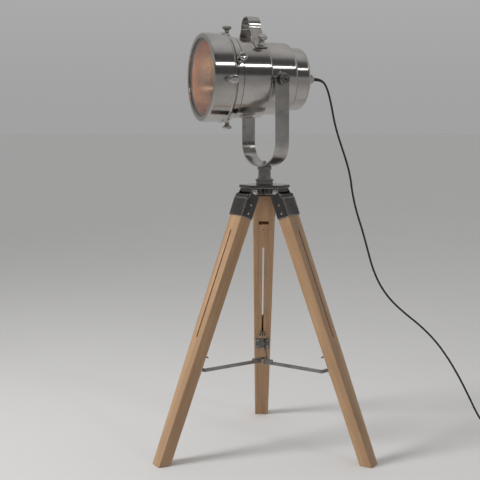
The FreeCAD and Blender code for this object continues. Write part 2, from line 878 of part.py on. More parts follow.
def yoke():
    """A flat strap bent into a U, with round tops round the tilt pivots."""
    half, wall = yoke_half, dim("yoke_strap") / 2
    side_bend, drop = dim("yoke_side_bend"), dim("yoke_bend_drop")
    bottom = -(dim("yoke_bottom") + wall)
    bend_start = bottom + drop
    across = half - side_bend
    base_bend = (across * across + drop * drop - side_bend * side_bend) / ((drop - side_bend) * 2)
    lean = across / (base_bend - side_bend)
    fall = (base_bend - drop) / (base_bend - side_bend)
    top = dim("yoke_width") / 2

    def joint(offset):
        radius = base_bend + offset
        return radius * lean, bottom + base_bend - radius * fall

    outer, inner = joint(wall), joint(-wall)
    strap = padded("Yoke", "YZ", [
        (-(half + wall), top),
        (-(half + wall), bend_start),
        (-outer[0], outer[1], side_bend + wall, 1),
        (outer[0], outer[1], base_bend + wall, 1),
        (half + wall, bend_start, side_bend + wall, 1),
        (half + wall, top),
        (half - wall, top),
        (half - wall, bend_start),
        (inner[0], inner[1], side_bend - wall, -1),
        (-inner[0], inner[1], base_bend - wall, -1),
        (-(half - wall), bend_start, side_bend - wall, -1),
        (-(half - wall), top),
    ], dim("yoke_width"))
    side_view = padded("YokeSide", "XZ", [
        (top, bottom * 1.1),
        (top, 0),
        (-top, 0, top, 1),
        (-top, bottom * 1.1),
    ], half * 3)
    pivots = cylinder("YokePivots", dim("tilt_bolt_radius") + running_gap, half * 3,
                      (0, -half * 1.5, 0), "Y")
    hole = cylinder("YokeHole", dim("bolt_radius") + running_gap, dim("yoke_strap") * 6,
                    (0, 0, bottom - dim("yoke_strap") * 3))
    return node("yoke", cut(common(strap, side_view), pivots, hole), yoke_frame)


def tilt_knob(label, side):
    """A hand wheel with a hexagon socket, on the bolt that goes through the yoke into the head."""
    radius, length, bolt = dim("knob_radius"), dim("knob_length"), dim("tilt_bolt_radius")
    reach = yoke_half + dim("yoke_strap") - dim("rear_radius") + dim("sheet_wall") * 3
    knob = revolved("TiltKnob" + label, [
        (0, -reach),
        (bolt, -reach),
        (bolt, 0),
        (radius * 0.75, 0),
        (radius * 0.75, length * 0.15),
        (radius, length * 0.2),
        (radius, length * 0.9),
        (radius * 0.9, length),
        (0, length),
    ])
    socket = padded("Socket" + label, "XY", hexagon(radius * 0.45), length * 0.8)
    socket.Placement = placed((0, 0, length))
    start = yoke_half + dim("yoke_strap") / 2 + rest_gap
    place = placed((0, start * side, 0), turn_about("X", -90 * side))
    return node("tilt_knob_" + label, cut(knob, socket), yoke_frame.multiply(place))


# ---------------------------------------------------------------- head

head_frame = yoke_frame.multiply(placed(rotation=turn_about("Y", -90)))
axis_frame = head_frame.multiply(placed((dim("axis_rise"), 0, 0)))  # +Z forward, +X up, +Y far
wall = dim("sheet_wall")


def on_axis(label, solid):
    return node(label, solid, axis_frame)


def pivot_holes():
    """Clearance for the tilt bolts, in the frame of the head's axis."""
    half = yoke_half
    return cylinder("PivotHoles", dim("tilt_bolt_radius") + rest_gap, half * 2,
                    (-dim("axis_rise"), -half, 0), "Y")


def lamp_housing():
    """The main drum: a spun shell with a round rear shoulder."""
    radius, front, rear, bend = (dim(n) for n in ("drum_radius", "drum_front", "drum_rear", "drum_round"))
    inner = dim("rear_radius") - wall * 3
    on_axis("lamp_housing", revolved("Drum", [
        (radius, front),
        (radius, rear + bend),
        (radius - bend, rear, bend, -1),
        (inner, rear),
        (inner, rear + wall),
        (radius - bend, rear + wall),
        (radius - wall, rear + bend, bend - wall, 1),
        (radius - wall, front),
    ]))


def rear_housing():
    """The smaller drum behind, which carries the pivots."""
    radius, front, rear, bend = (dim(n) for n in ("rear_radius", "drum_rear", "rear_end", "rear_round"))
    inner = dim("cap_radius") - wall * 4
    shell = revolved("RearDrum", [
        (radius, front),
        (radius, rear + bend),
        (radius - bend, rear, bend, -1),
        (inner, rear),
        (inner, rear + wall),
        (radius - bend, rear + wall),
        (radius - wall, rear + bend, bend - wall, 1),
        (radius - wall, front),
    ])
    on_axis("rear_housing", cut(shell, pivot_holes()))


def end_cap():
    radius, front, rear, bend = (dim(n) for n in ("cap_radius", "rear_end", "cap_end", "cap_round"))
    hole = dim("gland_radius") * 0.5
    on_axis("end_cap", revolved("Cap", [
        (radius, front),
        (radius, rear + bend),
        (radius - bend, rear, bend, -1),
        (hole, rear),
        (hole, rear + wall),
        (radius - bend, rear + wall),
        (radius - wall, rear + bend, bend - wall, 1),
        (radius - wall, front),
    ]))


def neck_ring():
    """The band between two grooves that joins the bezel to the drum."""
    radius, groove, step = dim("neck_radius"), dim("neck_groove_radius"), dim("groove_step")
    rear, front = dim("drum_front"), dim("neck_front")
    edge = dim("drum_radius")
    on_axis("neck_ring", revolved("Neck", [
        (groove - wall, rear),
        (edge, rear),
        (edge, rear + step * 0.75),
        (groove, rear + step * 0.75),
        (groove, rear + step * 1.75),
        (radius, rear + step * 1.75),
        (radius, front - step),
        (groove, front - step),
        (groove, dim("bezel_rear") + step * 2),
        (groove - wall, dim("bezel_rear") + step * 2),
    ]))


bezel_inner = dim("bezel_radius") - dim("bezel_wall")
lens_front = dim("bezel_front") - dim("bezel_wall")


def bezel():
    """The deep front ring: a bead behind, a round edge and an inward lip in front."""
    radius, bend, bead = dim("bezel_radius"), dim("bezel_round"), dim("bead_radius")
    rear, front = dim("bezel_rear"), dim("bezel_front")
    sleeve = dim("neck_groove_radius") + rest_gap / 3
    on_axis("bezel", revolved("Bezel", [
        (sleeve, rear),
        (radius, rear),
        (radius, rear + bead * 2, bead, 1),
        (radius, front - bend),
        (radius - bend, front, bend, 1),
        (radius - dim("bezel_lip"), front),
        (radius - dim("bezel_lip"), lens_front),
        (bezel_inner, lens_front),
        (bezel_inner, rear + dim("bezel_wall")),
        (sleeve, rear + dim("bezel_wall")),
    ]))


def lens():
    """Clear glass with a slight crown."""
    radius, crown = bezel_inner - rest_gap, dim("lens_crown")
    clear = dim("bezel_radius") - dim("bezel_lip") - rest_gap * 3
    curve = (clear * clear + crown * crown) / (crown * 2)
    rear = lens_front - dim("lens_thickness")
    on_axis("lens", revolved("Lens", [
        (0, rear),
        (radius, rear),
        (radius, lens_front),
        (clear, lens_front),
        (0, lens_front + crown, curve, 1),
    ]))


reflector_front = lens_front - dim("lens_thickness") - dim("lens_inset")


def lens_gasket():
    rear = lens_front - dim("lens_thickness")
    inner, outer = dim("reflector_radius") + wall * 3, bezel_inner - rest_gap
    on_axis("lens_gasket", revolved("Gasket", [
        (inner, reflector_front), (outer, reflector_front), (outer, rear), (inner, rear),
    ]))


def reflector():
    """A spun bowl that opens towards the lens, with a flat rim and an open throat."""
    rim, throat, depth = (dim(n) for n in ("reflector_radius", "reflector_throat", "reflector_depth"))
    curve = depth * 1.25
    back = reflector_front - depth
    outer = bezel_inner - rest_gap
    on_axis("reflector", revolved("Reflector", [
        (throat, back),
        (rim, reflector_front, curve, 1),
        (outer, reflector_front),
        (outer, reflector_front - wall),
        (rim + wall, reflector_front - wall),
        (throat + wall, back - wall * 0.6, curve + wall, -1),
        (throat, back - wall * 0.6),
    ]))


def lamp_holder():
    """A round socket held in the reflector's throat by its flange."""
    radius, throat = dim("holder_radius"), dim("reflector_throat")
    back = reflector_front - dim("reflector_depth") - wall * 0.6
    base = bulb_seat
    on_axis("lamp_holder", revolved("Holder", [
        (0, base - wall * 2),
        (radius * 0.8, base - wall * 2),
        (radius, base + wall * 2),
        (radius, back - wall * 2),
        (throat + wall, back - wall * 2),
        (throat + wall, back),
        (radius, back),
        (radius, back + wall * 2),
        (bulb_neck + rest_gap, back + wall * 2),
        (bulb_neck + rest_gap, base),
        (0, base),
    ]))


bulb_neck = dim("bulb_radius") * 0.44
bulb_seat = reflector_front - dim("reflector_depth") - dim("bulb_radius")


def bulb():
    """A globe lamp with its screw base in the holder."""
    globe, neck = dim("bulb_radius"), bulb_neck
    cap_top = bulb_seat + globe * 1.1
    middle = cap_top + globe * 1.2
    on_axis("bulb", revolved("Bulb", [
        (0, bulb_seat),
        (neck * 0.7, bulb_seat),
        (neck, bulb_seat + neck * 0.3),
        (neck, cap_top),
        (globe * 0.68, middle - globe * math.sqrt(1 - 0.68**2)),
        (0, middle + globe, globe, 1),
    ]))


# ---------------------------------------------------------------- fittings on the head


def thumbscrew(name):
    """A mushroom-headed screw on a small base washer, its foot at the origin."""
    stem, head = dim("screw_stem_radius"), dim("screw_head_radius")
    reach, cap = dim("screw_reach"), dim("screw_head_height")
    return revolved(name, [
        (0, 0),
        (stem * 1.7, 0),
        (stem * 1.7, stem * 0.4),
        (stem, stem * 0.5),
        (stem * 0.8, reach - cap * 1.4),
        (head * 0.8, reach - cap),
        (head, reach - cap * 0.8),
        (head, reach - cap * 0.3),
        (head * 0.85, reach),
        (0, reach),
    ])


def around_axis(angle, radius, forward):
    """A place on the head at an angle from the top (towards the near side), facing outwards."""
    turned = placed(rotation=turn_about("Z", -angle))
    return turned.multiply(placed((radius, 0, forward), TURNS["X"]))


NECK_SCREW_ANGLES = (0, 68, -68, 180)
BEZEL_SCREW_ANGLES = (94, -94)


def thumbscrews():
    """Six on the neck and bezel, and two that hold the handle's feet."""
    forward = (dim("drum_front") + dim("neck_front") + dim("groove_step") * 0.75) / 2
    places = [around_axis(a, dim("neck_radius"), forward) for a in NECK_SCREW_ANGLES]
    on_bezel = dim("bezel_rear") + dim("bead_radius") * 2 + dim("screw_head_radius") * 0.8
    places += [around_axis(a, dim("bezel_radius"), on_bezel) for a in BEZEL_SCREW_ANGLES]
    foot = dim("drum_radius") + dim("handle_strap") + FIT * 4
    for side in (1, -1):
        places.append(around_axis(number(dim("handle_foot_angle")) * side, foot,
                                  dim("handle_place")))
    screws = []
    for index, place in enumerate(places):
        screw = thumbscrew(f"Thumbscrew{index}")
        screw.Placement = place
        screws.append(screw)
    on_axis("thumbscrews", group(*screws))


def handle():
    """A strap bent over the drum: two feet on the drum, splayed sides and a round top."""
    angle, radius = dim("handle_foot_angle"), dim("drum_radius")
    half, top = dim("handle_half_gap"), dim("handle_top")
    thick = dim("handle_strap")
    seat = radius + thick / 2 + FIT * 3
    across, up = cosine(angle), sine(angle)
    centre = (seat * up, seat * across)
    toe = (centre[0] + across * dim("screw_head_radius"), centre[1] - up * dim("screw_head_radius"))
    heel = (centre[0] - across * dim("screw_head_radius"), centre[1] + up * dim("screw_head_radius"))
    path = [toe, heel, (half * 1.03, top - half * 1.1), (half * 0.95, top - thick / 2)]
    side = [(number(a), number(b)) for a, b in path]
    route = [FreeCAD.Vector(b, -a, 0) for a, b in side]
    route += [FreeCAD.Vector(b, a, 0) for a, b in reversed(side)]
    bends = [number(thick) * 2.5, number(thick) * 4, number(half) * 0.93]
    spine = rounded_route(route, bends + bends[::-1])
    start, along = route[0], (route[1] - route[0]).normalize()
    across_strap = FreeCAD.Vector(-along.y, along.x, 0) * (number(thick) / 2)
    lift = FreeCAD.Vector(0, 0, number(dim("handle_width")) / 2)
    ring = Part.makePolygon([
        start + across_strap - lift,
        start - across_strap - lift,
        start - across_strap + lift,
        start + across_strap + lift,
        start + across_strap - lift,
    ])
    strap = doc.addObject("Part::Feature", "Handle")
    strap.Shape = spine.makePipeShell([ring], True, False)
    on_axis("handle", strap)
    strap.Placement = axis_frame.multiply(placed((0, 0, dim("handle_place"))))


def tilt_bosses():
    """Spacers between the rear drum and the yoke's arms, shaped to the drum."""
    inner = yoke_inside - rest_gap
    outer_radius = dim("knob_radius") * 0.9
    drum = cylinder("BossDrum", dim("rear_radius"), yoke_half * 2,
                    (0, 0, -yoke_half))
    bosses = []
    for side in (1, -1):
        boss = cylinder("Boss", outer_radius, inner)
        boss.Placement = placed((-dim("axis_rise"), 0, 0), turn_about("X", -90 * side))
        bosses.append(boss)
    solid = cut(group(*bosses), drum, pivot_holes())
    on_axis("tilt_bosses", solid)


def cable_gland():
    """A hexagon body in the end cap and a long domed nut that grips the cord."""
    radius, rear = dim("gland_radius"), dim("cap_end")
    length = dim("gland_body_length")
    collar = padded("GlandHex", "XY", hexagon(radius), length * 0.45, centred=False)
    neck = cylinder("GlandNeck", radius * 0.62, length)
    spigot = cylinder("GlandSpigot", radius * 0.5 - FIT, length * 0.2, (0, 0, -length * 0.2))
    facing = placed((0, 0, rear), turn_about("X", 180))
    body = fused(collar, neck, spigot)
    node("gland_body", body, axis_frame.multiply(facing))
    nut_start = length * 0.45 + rest_gap
    reach = dim("gland_nut_length")
    bore = radius * 0.62 + FIT
    nut = revolved("GlandNut", [
        (0, length),
        (bore, length),
        (bore, nut_start),
        (radius * 0.92, nut_start),
        (radius * 0.92, nut_start + reach * 0.3),
        (radius * 0.8, nut_start + reach * 0.5),
        (dim("cord_radius") * 1.9, nut_start + reach + length * 0.55),
        (0, nut_start + reach + length * 0.55),
    ])
    node("gland_nut", nut, axis_frame.multiply(facing))
    return nut_start + reach + length * 0.55


# ---------------------------------------------------------------- cord


def arc_between(start, corner, end):
    """The arc that leaves start and reaches end, both towards their common corner."""
    middle = (start + end) * 0.5
    half = (end - start).Length / 2
    rise = (corner - middle).Length
    if rise < 1e-6:
        return Part.LineSegment(start, end).toShape()
    bulge = half * math.tan(math.atan2(rise, half) / 2)
    through = middle + (corner - middle) * (bulge / rise)
    return Part.Arc(start, through, end).toShape()


def rounded_route(points, radii):
    """Straight runs joined by arcs that are tangent to them."""
    edges = []
    place = points[0]
    for before, corner, after, radius in zip(points, points[1:], points[2:], radii):
        incoming = (corner - before).normalize()
        outgoing = (after - corner).normalize()
        half_turn = incoming.getAngle(outgoing) / 2
        setback = radius * math.tan(half_turn)
        start, end = corner - incoming * setback, corner + outgoing * setback
        if (start - place).Length > 1e-6:
            edges.append(Part.LineSegment(place, start).toShape())
        edges.append(arc_between(start, corner, end))
        place = end
    edges.append(Part.LineSegment(place, points[-1]).toShape())
    return Part.Wire(edges)


def cord_radii(points):
    """Each bend is as wide as 0.45 of its shorter run allows."""
    radii = []
    for before, corner, after in zip(points, points[1:], points[2:]):
        incoming, outgoing = corner - before, after - corner
        half_turn = incoming.getAngle(outgoing) / 2
        radii.append(0.45 * min(incoming.Length, outgoing.Length) / math.tan(half_turn))
    return radii


def tube(name, wire, radius):
    """A round tube along a wire."""
    first = wire.Edges[0]
    start, along = first.valueAt(first.FirstParameter), first.tangentAt(first.FirstParameter)
    ring = Part.Wire([Part.Circle(start, along, radius).toShape()])
    solid = doc.addObject("Part::Feature", name)
    solid.Shape = wire.makePipeShell([ring], True, False)
    return solid


gland_length = cable_gland()
PAN = math.radians(number(dim("pan_rest")))
EXIT_REACH = number(gland_length) - number(dim("cap_end"))
EXIT_LEVEL = number(pivot_height) + number(dim("axis_rise"))
EXIT = FreeCAD.Vector(EXIT_REACH * math.cos(PAN), EXIT_REACH * math.sin(PAN), EXIT_LEVEL)
FLOOR_LEVEL = number(dim("cord_radius")) + 0.2
CORD_LEAD = 26          # straight out of the gland, and down from the coil

# The hanging stretch, from the gland to the floor, chosen by hand. The first point is the exit.
HANGING = [
    (192, 74, 1062), (206, 80, 1012), (214, 84, 958), (229, 87, 906), (247, 89, 850),
    (259, 91, 800), (266, 93, 748), (279, 94, 694), (297, 95, 640), (314, 95, 580),
    (330, 94, 522), (354, 92, 468), (388, 90, 422), (430, 88, 384), (478, 87, 346),
    (524, 87, 300), (564, 88, 246), (600, 89, 186), (632, 90, 124), (660, 91, 66),
    (692, 92, 22), (736, 92, 4), (784, 91, 3.4),
]
COIL_TURNS = 2          # in each of two layers
COIL_STEPS = 8          # stretches in a turn


def biarc(start, along, end, onward):
    """Two arcs that leave start along one direction and reach end along another."""
    across = end - start
    both = along + onward
    spread = 2 * (1 - along.dot(onward))
    reach = (math.sqrt(across.dot(both) ** 2 + spread * across.dot(across)) - across.dot(both)) / spread
    first, second = start + along * reach, end - onward * reach
    middle = (first + second) * 0.5
    return [arc_between(start, first, middle), arc_between(middle, second, end)]


def coil_place(step, entry):
    """Centre line of the wound coil: two turns in, a climb, and two turns out on top."""
    thick = number(dim("cord_radius")) * 2
    pitch = thick + 0.8
    total = 2 * COIL_TURNS * COIL_STEPS
    share = step / total
    inwards = 1 - abs(2 * share - 1)
    radius = number(dim("coil_middle_radius")) + pitch * COIL_TURNS * (0.5 - inwards)
    climb = min(max((step - total / 2 + COIL_STEPS / 4) / (COIL_STEPS / 2), 0.0), 1.0)
    smooth = climb * climb * (3 - 2 * climb)
    angle = math.radians(-90 + 360 * step / COIL_STEPS)
    centre = coil_centre(entry)
    return FreeCAD.Vector(
        centre.x + radius * math.cos(angle),
        centre.y + radius * math.sin(angle),
        FLOOR_LEVEL + smooth * pitch,
    )


def coil_centre(entry):
    thick = number(dim("cord_radius")) * 2
    outer = number(dim("coil_middle_radius")) + (thick + 0.8) * COIL_TURNS * 0.5
    return FreeCAD.Vector(entry.x, entry.y + outer, FLOOR_LEVEL)


def coil_wire(entry):
    total = 2 * COIL_TURNS * COIL_STEPS
    places = [coil_place(step, entry) for step in range(total + 1)]
    headings = []
    for step in range(total + 1):
        before, after = coil_place(step - 0.02, entry), coil_place(step + 0.02, entry)
        if step == 0:
            before = places[0]
        if step == total:
            after = places[-1]
        headings.append((after - before).normalize())
    edges = []
    for step in range(total):
        edges += biarc(places[step], headings[step], places[step + 1], headings[step + 1])
    return Part.Wire(edges), places, headings


def least_gap(places_at, count, thick):
    """The least distance between turns of the coil, less the cord's thickness."""
    samples = [places_at(i * 2 * COIL_TURNS * COIL_STEPS / count) for i in range(count + 1)]
    apart = count / (2 * COIL_TURNS) / 2
    least = min(
        (samples[i] - samples[k]).Length
        for i in range(count + 1)
        for k in range(i)
        if i - k > apart
    )
    return least - thick


def cord():
    radius = number(dim("cord_radius"))
    outwards = FreeCAD.Vector(math.cos(PAN), math.sin(PAN), 0)
    points = [EXIT, EXIT + outwards * CORD_LEAD]
    points += [FreeCAD.Vector(*p) for p in HANGING]
    points[-1].z = FLOOR_LEVEL
    points[-2].z = FLOOR_LEVEL + 1
    radii = cord_radii(points)
    print("cord radii", [round(r) for r in radii])
    route = rounded_route(points, radii)
    node("cord", tube("Cord", route, radius))
    wire, places, headings = coil_wire(points[-1])
    node("cord_coil", tube("CordCoil", wire, radius))
    print("cord length", round(route.Length + wire.Length))
    print("coil gap", round(least_gap(lambda s: coil_place(s, points[-1]), 400, radius * 2), 2))
    tail = cord_tail(places[-1], headings[-1], radius)
    plug(tail)


def cord_tail(start, heading, radius):
    """From the top of the coil down to the plug."""
    low = FLOOR_LEVEL + 4
    points = [start, start + heading * CORD_LEAD]
    flat = FreeCAD.Vector(heading.x, heading.y, 0).normalize()
    for level in (low + 1, low):
        ahead = points[-1] + flat * CORD_LEAD
        points.append(FreeCAD.Vector(ahead.x, ahead.y, level))
    radii = cord_radii(points)
    route = rounded_route(points, radii)
    print("tail radii", [round(r) for r in radii], "length", round(route.Length))
    node("cord_tail", tube("CordTail", route, radius))
    return points[-1], (points[-1] - points[-2]).normalize()


PLUG_LENGTH, PLUG_WIDTH, PLUG_HEIGHT = 34.0, 26.0, 14.0
PIN_LENGTH, PIN_GAP, PIN_RADIUS = 19.0, 18.6, 2.0
STRAIN_LENGTH = 24.0


def plug(tail):
    """A flat two-pin plug with a tapered strain relief, its pins apart from its body."""
    place, heading = tail
    half_width = PLUG_WIDTH / 2
    relief = revolved("Strain", [(0, 0), (4.2, 0), (6.2, STRAIN_LENGTH), (0, STRAIN_LENGTH)])
    relief.Placement = placed(rotation=TURNS["X"])
    body = padded("PlugBody", "XY", [
        (STRAIN_LENGTH - 1, -half_width * 0.5),
        (STRAIN_LENGTH + PLUG_LENGTH * 0.5, -half_width),
        (STRAIN_LENGTH + PLUG_LENGTH, -half_width),
        (STRAIN_LENGTH + PLUG_LENGTH, half_width),
        (STRAIN_LENGTH + PLUG_LENGTH * 0.5, half_width),
        (STRAIN_LENGTH - 1, half_width * 0.5),
    ], PLUG_HEIGHT - 1)
    pins = [
        cylinder("PlugPin", PIN_RADIUS, PIN_LENGTH,
                 (STRAIN_LENGTH + PLUG_LENGTH, PIN_GAP / 2 * side, 0), "X")
        for side in (1, -1)
    ]
    flat = math.degrees(math.atan2(heading.y, heading.x))
    node("plug", group(fused(relief, body), *pins),
         FreeCAD.Placement(place, turn_about("Z", flat)))


# ---------------------------------------------------------------- the lamp

hub_plate()
swivel_bolt()
swivel_collar()
swivel_washer()
swivel_stem()
swivel_nut()
lock_knob()
for leg_side in SIDES:
    leg_channel(leg_side)
    leg_slider(leg_side)
    guide_bolt(leg_side)
    leg_bracket(leg_side)
    hinge_pin(leg_side)
    clamp_stud(leg_side)
    wing_nut(leg_side)
    spreader_bracket(leg_side)
    spreader_arm(leg_side)
spreader_hub()
hub_rivets()
yoke()
tilt_knob("near", -1)
tilt_knob("far", 1)
lamp_housing()
rear_housing()
end_cap()
neck_ring()
bezel()
lens()
lens_gasket()
reflector()
lamp_holder()
bulb()
thumbscrews()
handle()
tilt_bosses()
cord()
doc.recompute()

faults = []
for thing in doc.Objects:
    if {"Invalid", "Error"} & set(thing.State):
        faults.append(f"{thing.Name} {thing.State}")
for solid in nodes:
    if solid.Shape.isNull() or not solid.Shape.isValid() or not solid.Shape.Solids:
        faults.append(f"{solid.Label} has no valid solid")
if faults:
    raise RuntimeError("; ".join(faults))

os.makedirs("parts", exist_ok=True)
for solid in nodes:
    solid.Shape.exportStep(f"parts/{solid.Label}.step")
print(len(nodes), "sub-parts")
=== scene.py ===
import math

import bmesh
import bpy
from mathutils import Matrix, Vector


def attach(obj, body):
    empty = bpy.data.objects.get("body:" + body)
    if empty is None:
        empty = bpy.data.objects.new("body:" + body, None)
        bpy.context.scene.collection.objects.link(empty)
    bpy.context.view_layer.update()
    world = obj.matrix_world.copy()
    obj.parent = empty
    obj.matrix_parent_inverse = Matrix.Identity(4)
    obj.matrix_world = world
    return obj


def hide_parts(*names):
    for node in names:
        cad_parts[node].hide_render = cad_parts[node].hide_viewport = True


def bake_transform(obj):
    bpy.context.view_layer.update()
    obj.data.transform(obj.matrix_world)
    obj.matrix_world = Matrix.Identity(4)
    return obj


# A tripod spotlight floor lamp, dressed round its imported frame. Piece sizes are in
# millimetres until they reach a mesh; everything in Blender is in metres.

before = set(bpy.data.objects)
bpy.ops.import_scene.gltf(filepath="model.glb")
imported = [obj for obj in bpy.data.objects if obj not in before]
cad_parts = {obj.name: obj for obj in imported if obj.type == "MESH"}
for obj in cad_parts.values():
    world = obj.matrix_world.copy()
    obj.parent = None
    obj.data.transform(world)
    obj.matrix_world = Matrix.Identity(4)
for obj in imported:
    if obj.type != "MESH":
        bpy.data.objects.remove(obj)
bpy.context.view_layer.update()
collection = bpy.context.scene.collection
MM = 0.001

# ------------------------------------------------------------------ camera

CAMERA_PLACE = (-0.067, -2.800, 0.944)
CAMERA_TILT, CAMERA_HEADING = 83.37, 0.08
SENSOR_WIDTH, FOCAL_LENGTH = 36, 72.4

camera_data = bpy.data.cameras.new("camera")
camera_data.sensor_width = SENSOR_WIDTH
camera_data.lens = FOCAL_LENGTH
camera = bpy.data.objects.new("camera", camera_data)
camera.location = CAMERA_PLACE
camera.rotation_euler = (math.radians(CAMERA_TILT), 0, math.radians(CAMERA_HEADING))
collection.objects.link(camera)
bpy.context.scene.camera = camera

# ------------------------------------------------------------------ places on the lamp


def axes(origin, across, second, out):
    """The place with this origin, in mm, and these three axes."""
    turned = Matrix((across, second, out)).transposed().to_4x4()
    return Matrix.Translation(Vector(origin) * MM) @ turned


def shift(x, y, z):
    return Matrix.Translation(Vector((x, y, z)) * MM)


def turn(degrees, axis):
    return Matrix.Rotation(math.radians(degrees), 4, axis)


UP = Vector((0, 0, 1))
PAN = math.radians(21)  # the head's turn about the tripod's axis
AXIS_HEIGHT = 1084      # the head's axis above the floor
FACING = Vector((-math.cos(PAN), -math.sin(PAN), 0))
HEAD = axes((0, 0, AXIS_HEIGHT), UP, FACING.cross(UP), FACING)

LEAN = math.radians(20.5)  # of each leg from upright
PIN_REACH = 52             # hinge pins from the tripod's axis
PIN_HEIGHT = 763           # and above the floor
SIDES = {"back": 0, "right": 120, "left": 240}  # clockwise from +Y, seen from above


def leg_place(side):
    """A leg's hinge pin: x along it, y out of the leg's outer face, z up the leg."""
    bearing = math.radians(SIDES[side])
    away = Vector((math.sin(bearing), math.cos(bearing), 0))
    along_pin = Vector((math.cos(bearing), -math.sin(bearing), 0))
    face = away * math.cos(LEAN) + UP * math.sin(LEAN)
    upwards = UP * math.cos(LEAN) - away * math.sin(LEAN)
    return axes(away * PIN_REACH + UP * PIN_HEIGHT, along_pin, face, upwards)


LEGS = {side: leg_place(side) for side in SIDES}


def on_head(angle, radius, forward):
    """A place on the head, z outwards: the angle is from the top to the near side."""
    return HEAD @ turn(-angle, "Z") @ shift(radius, 0, forward) @ turn(90, "Y")


# ------------------------------------------------------------------ mesh making

SHARP_ANGLE = 32    # edges that bend by more degrees than this aren't smoothed
WELD = 1e-7         # points nearer than this, in metres, become one
DOME_STEPS = 5
DOME_TIP = 0.04     # the flat on a dome's top, as a share of its rim
SLOT_DEEPER = 0.05  # mm that a slot ends below its floor
TOLERANCE = 0.01    # mm


def closed_ring(bm, place, points):
    return [bm.verts.new(place @ (Vector(point) * MM)) for point in points]


def bridge(bm, lower, upper):
    count = len(lower)
    for index in range(count):
        after = (index + 1) % count
        bm.faces.new((lower[index], lower[after], upper[after], upper[index]))


def skin(bm, place, rings):
    """Joins rings of points into a closed skin with a face at each end."""
    made = [closed_ring(bm, place, ring) for ring in rings]
    for lower, upper in zip(made, made[1:]):
        bridge(bm, lower, upper)
    bm.faces.new(made[0][::-1])
    bm.faces.new(made[-1])


def circle(radius, height, steps, ridges, depth):
    """A ring of points round z; ridges knurl it to a depth."""
    points = []
    for step in range(steps):
        angle = 2 * math.pi * step / steps
        reach = radius - depth * (0.5 - 0.5 * math.cos(angle * ridges))
        points.append((reach * math.cos(angle), reach * math.sin(angle), height))
    return points


def lathe(bm, place, profile, steps, ridges=0, depth=0.0):
    """Turns a profile of (radius, height) and maybe a knurled share round z."""
    rings = []
    for radius, height, *knurl in profile:
        share = knurl[0] if knurl else 0
        rings.append(circle(radius, height, steps, ridges, depth * share))
    skin(bm, place, rings)


def dome(radius, foot, top):
    """Profile points of a low dome that starts at its rim."""
    points = []
    for step in range(DOME_STEPS):
        angle = math.pi / 2 * step / DOME_STEPS
        height = foot + (top - foot) * math.sin(angle)
        points.append((radius * math.cos(angle), height))
    return points + [(radius * DOME_TIP, top)]


def cut_slot(bm, faces_from, place, half_width, floor, top):
    """Sinks a straight slot across the top of a turned head."""
    local = place.inverted()
    fresh = [face for face in bm.faces if face not in faces_from]
    across = (place.to_3x3() @ Vector((0, 1, 0))).normalized()
    for side in (1, -1):
        point = place @ (Vector((0, side * half_width, 0)) * MM)
        verts = [vert for face in fresh for vert in face.verts]
        edges = [edge for face in fresh for edge in face.edges]
        geometry = list(dict.fromkeys(verts)) + list(dict.fromkeys(edges)) + fresh
        split = bmesh.ops.bisect_plane(bm, geom=geometry, plane_co=point,
                                       plane_no=across)
        fresh = [item for item in split["geom"]
                 if isinstance(item, bmesh.types.BMFace)]
    sunk = []
    for face in fresh:
        centre = local @ face.calc_center_median() / MM
        low = min((local @ vert.co).z for vert in face.verts) / MM
        on_top = low > floor - TOLERANCE and centre.z < top + 1
        if on_top and abs(centre.y) < half_width:
            sunk.append(face)
    made = bmesh.ops.extrude_face_region(bm, geom=sunk)
    bmesh.ops.delete(bm, geom=sunk, context="FACES")
    for item in made["geom"]:
        if isinstance(item, bmesh.types.BMVert):
            spot = local @ item.co
            spot.z = min(spot.z, floor * MM) - SLOT_DEEPER * MM
            item.co = place @ spot


def slotted(bm, place, profile, half_width, floor, **options):
    """A turned screw with a straight slot across its head."""
    before = set(bm.faces)
    lathe(bm, place, profile, **options)
    top = max(point[1] for point in profile)
    cut_slot(bm, before, place, half_width, floor, top)


def piece(name, bm, body, finish, replaces=None):
    """Turns a bmesh into a shown piece that rides on a body."""
    bmesh.ops.remove_doubles(bm, verts=bm.verts, dist=WELD)
    bmesh.ops.recalc_face_normals(bm, faces=bm.faces)
    mesh = bpy.data.meshes.new(name)
    bm.to_mesh(mesh)
    bm.free()
    mesh.shade_smooth()
    mesh.set_sharp_from_angle(angle=math.radians(SHARP_ANGLE))
    made = bpy.data.objects.new(name, mesh)
    collection.objects.link(made)
    mesh.materials.append(finishes[finish])
    if replaces:
        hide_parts(replaces)
    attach(made, body)
    return made


# ------------------------------------------------------------------ materials

BEVEL_SAMPLES = 4


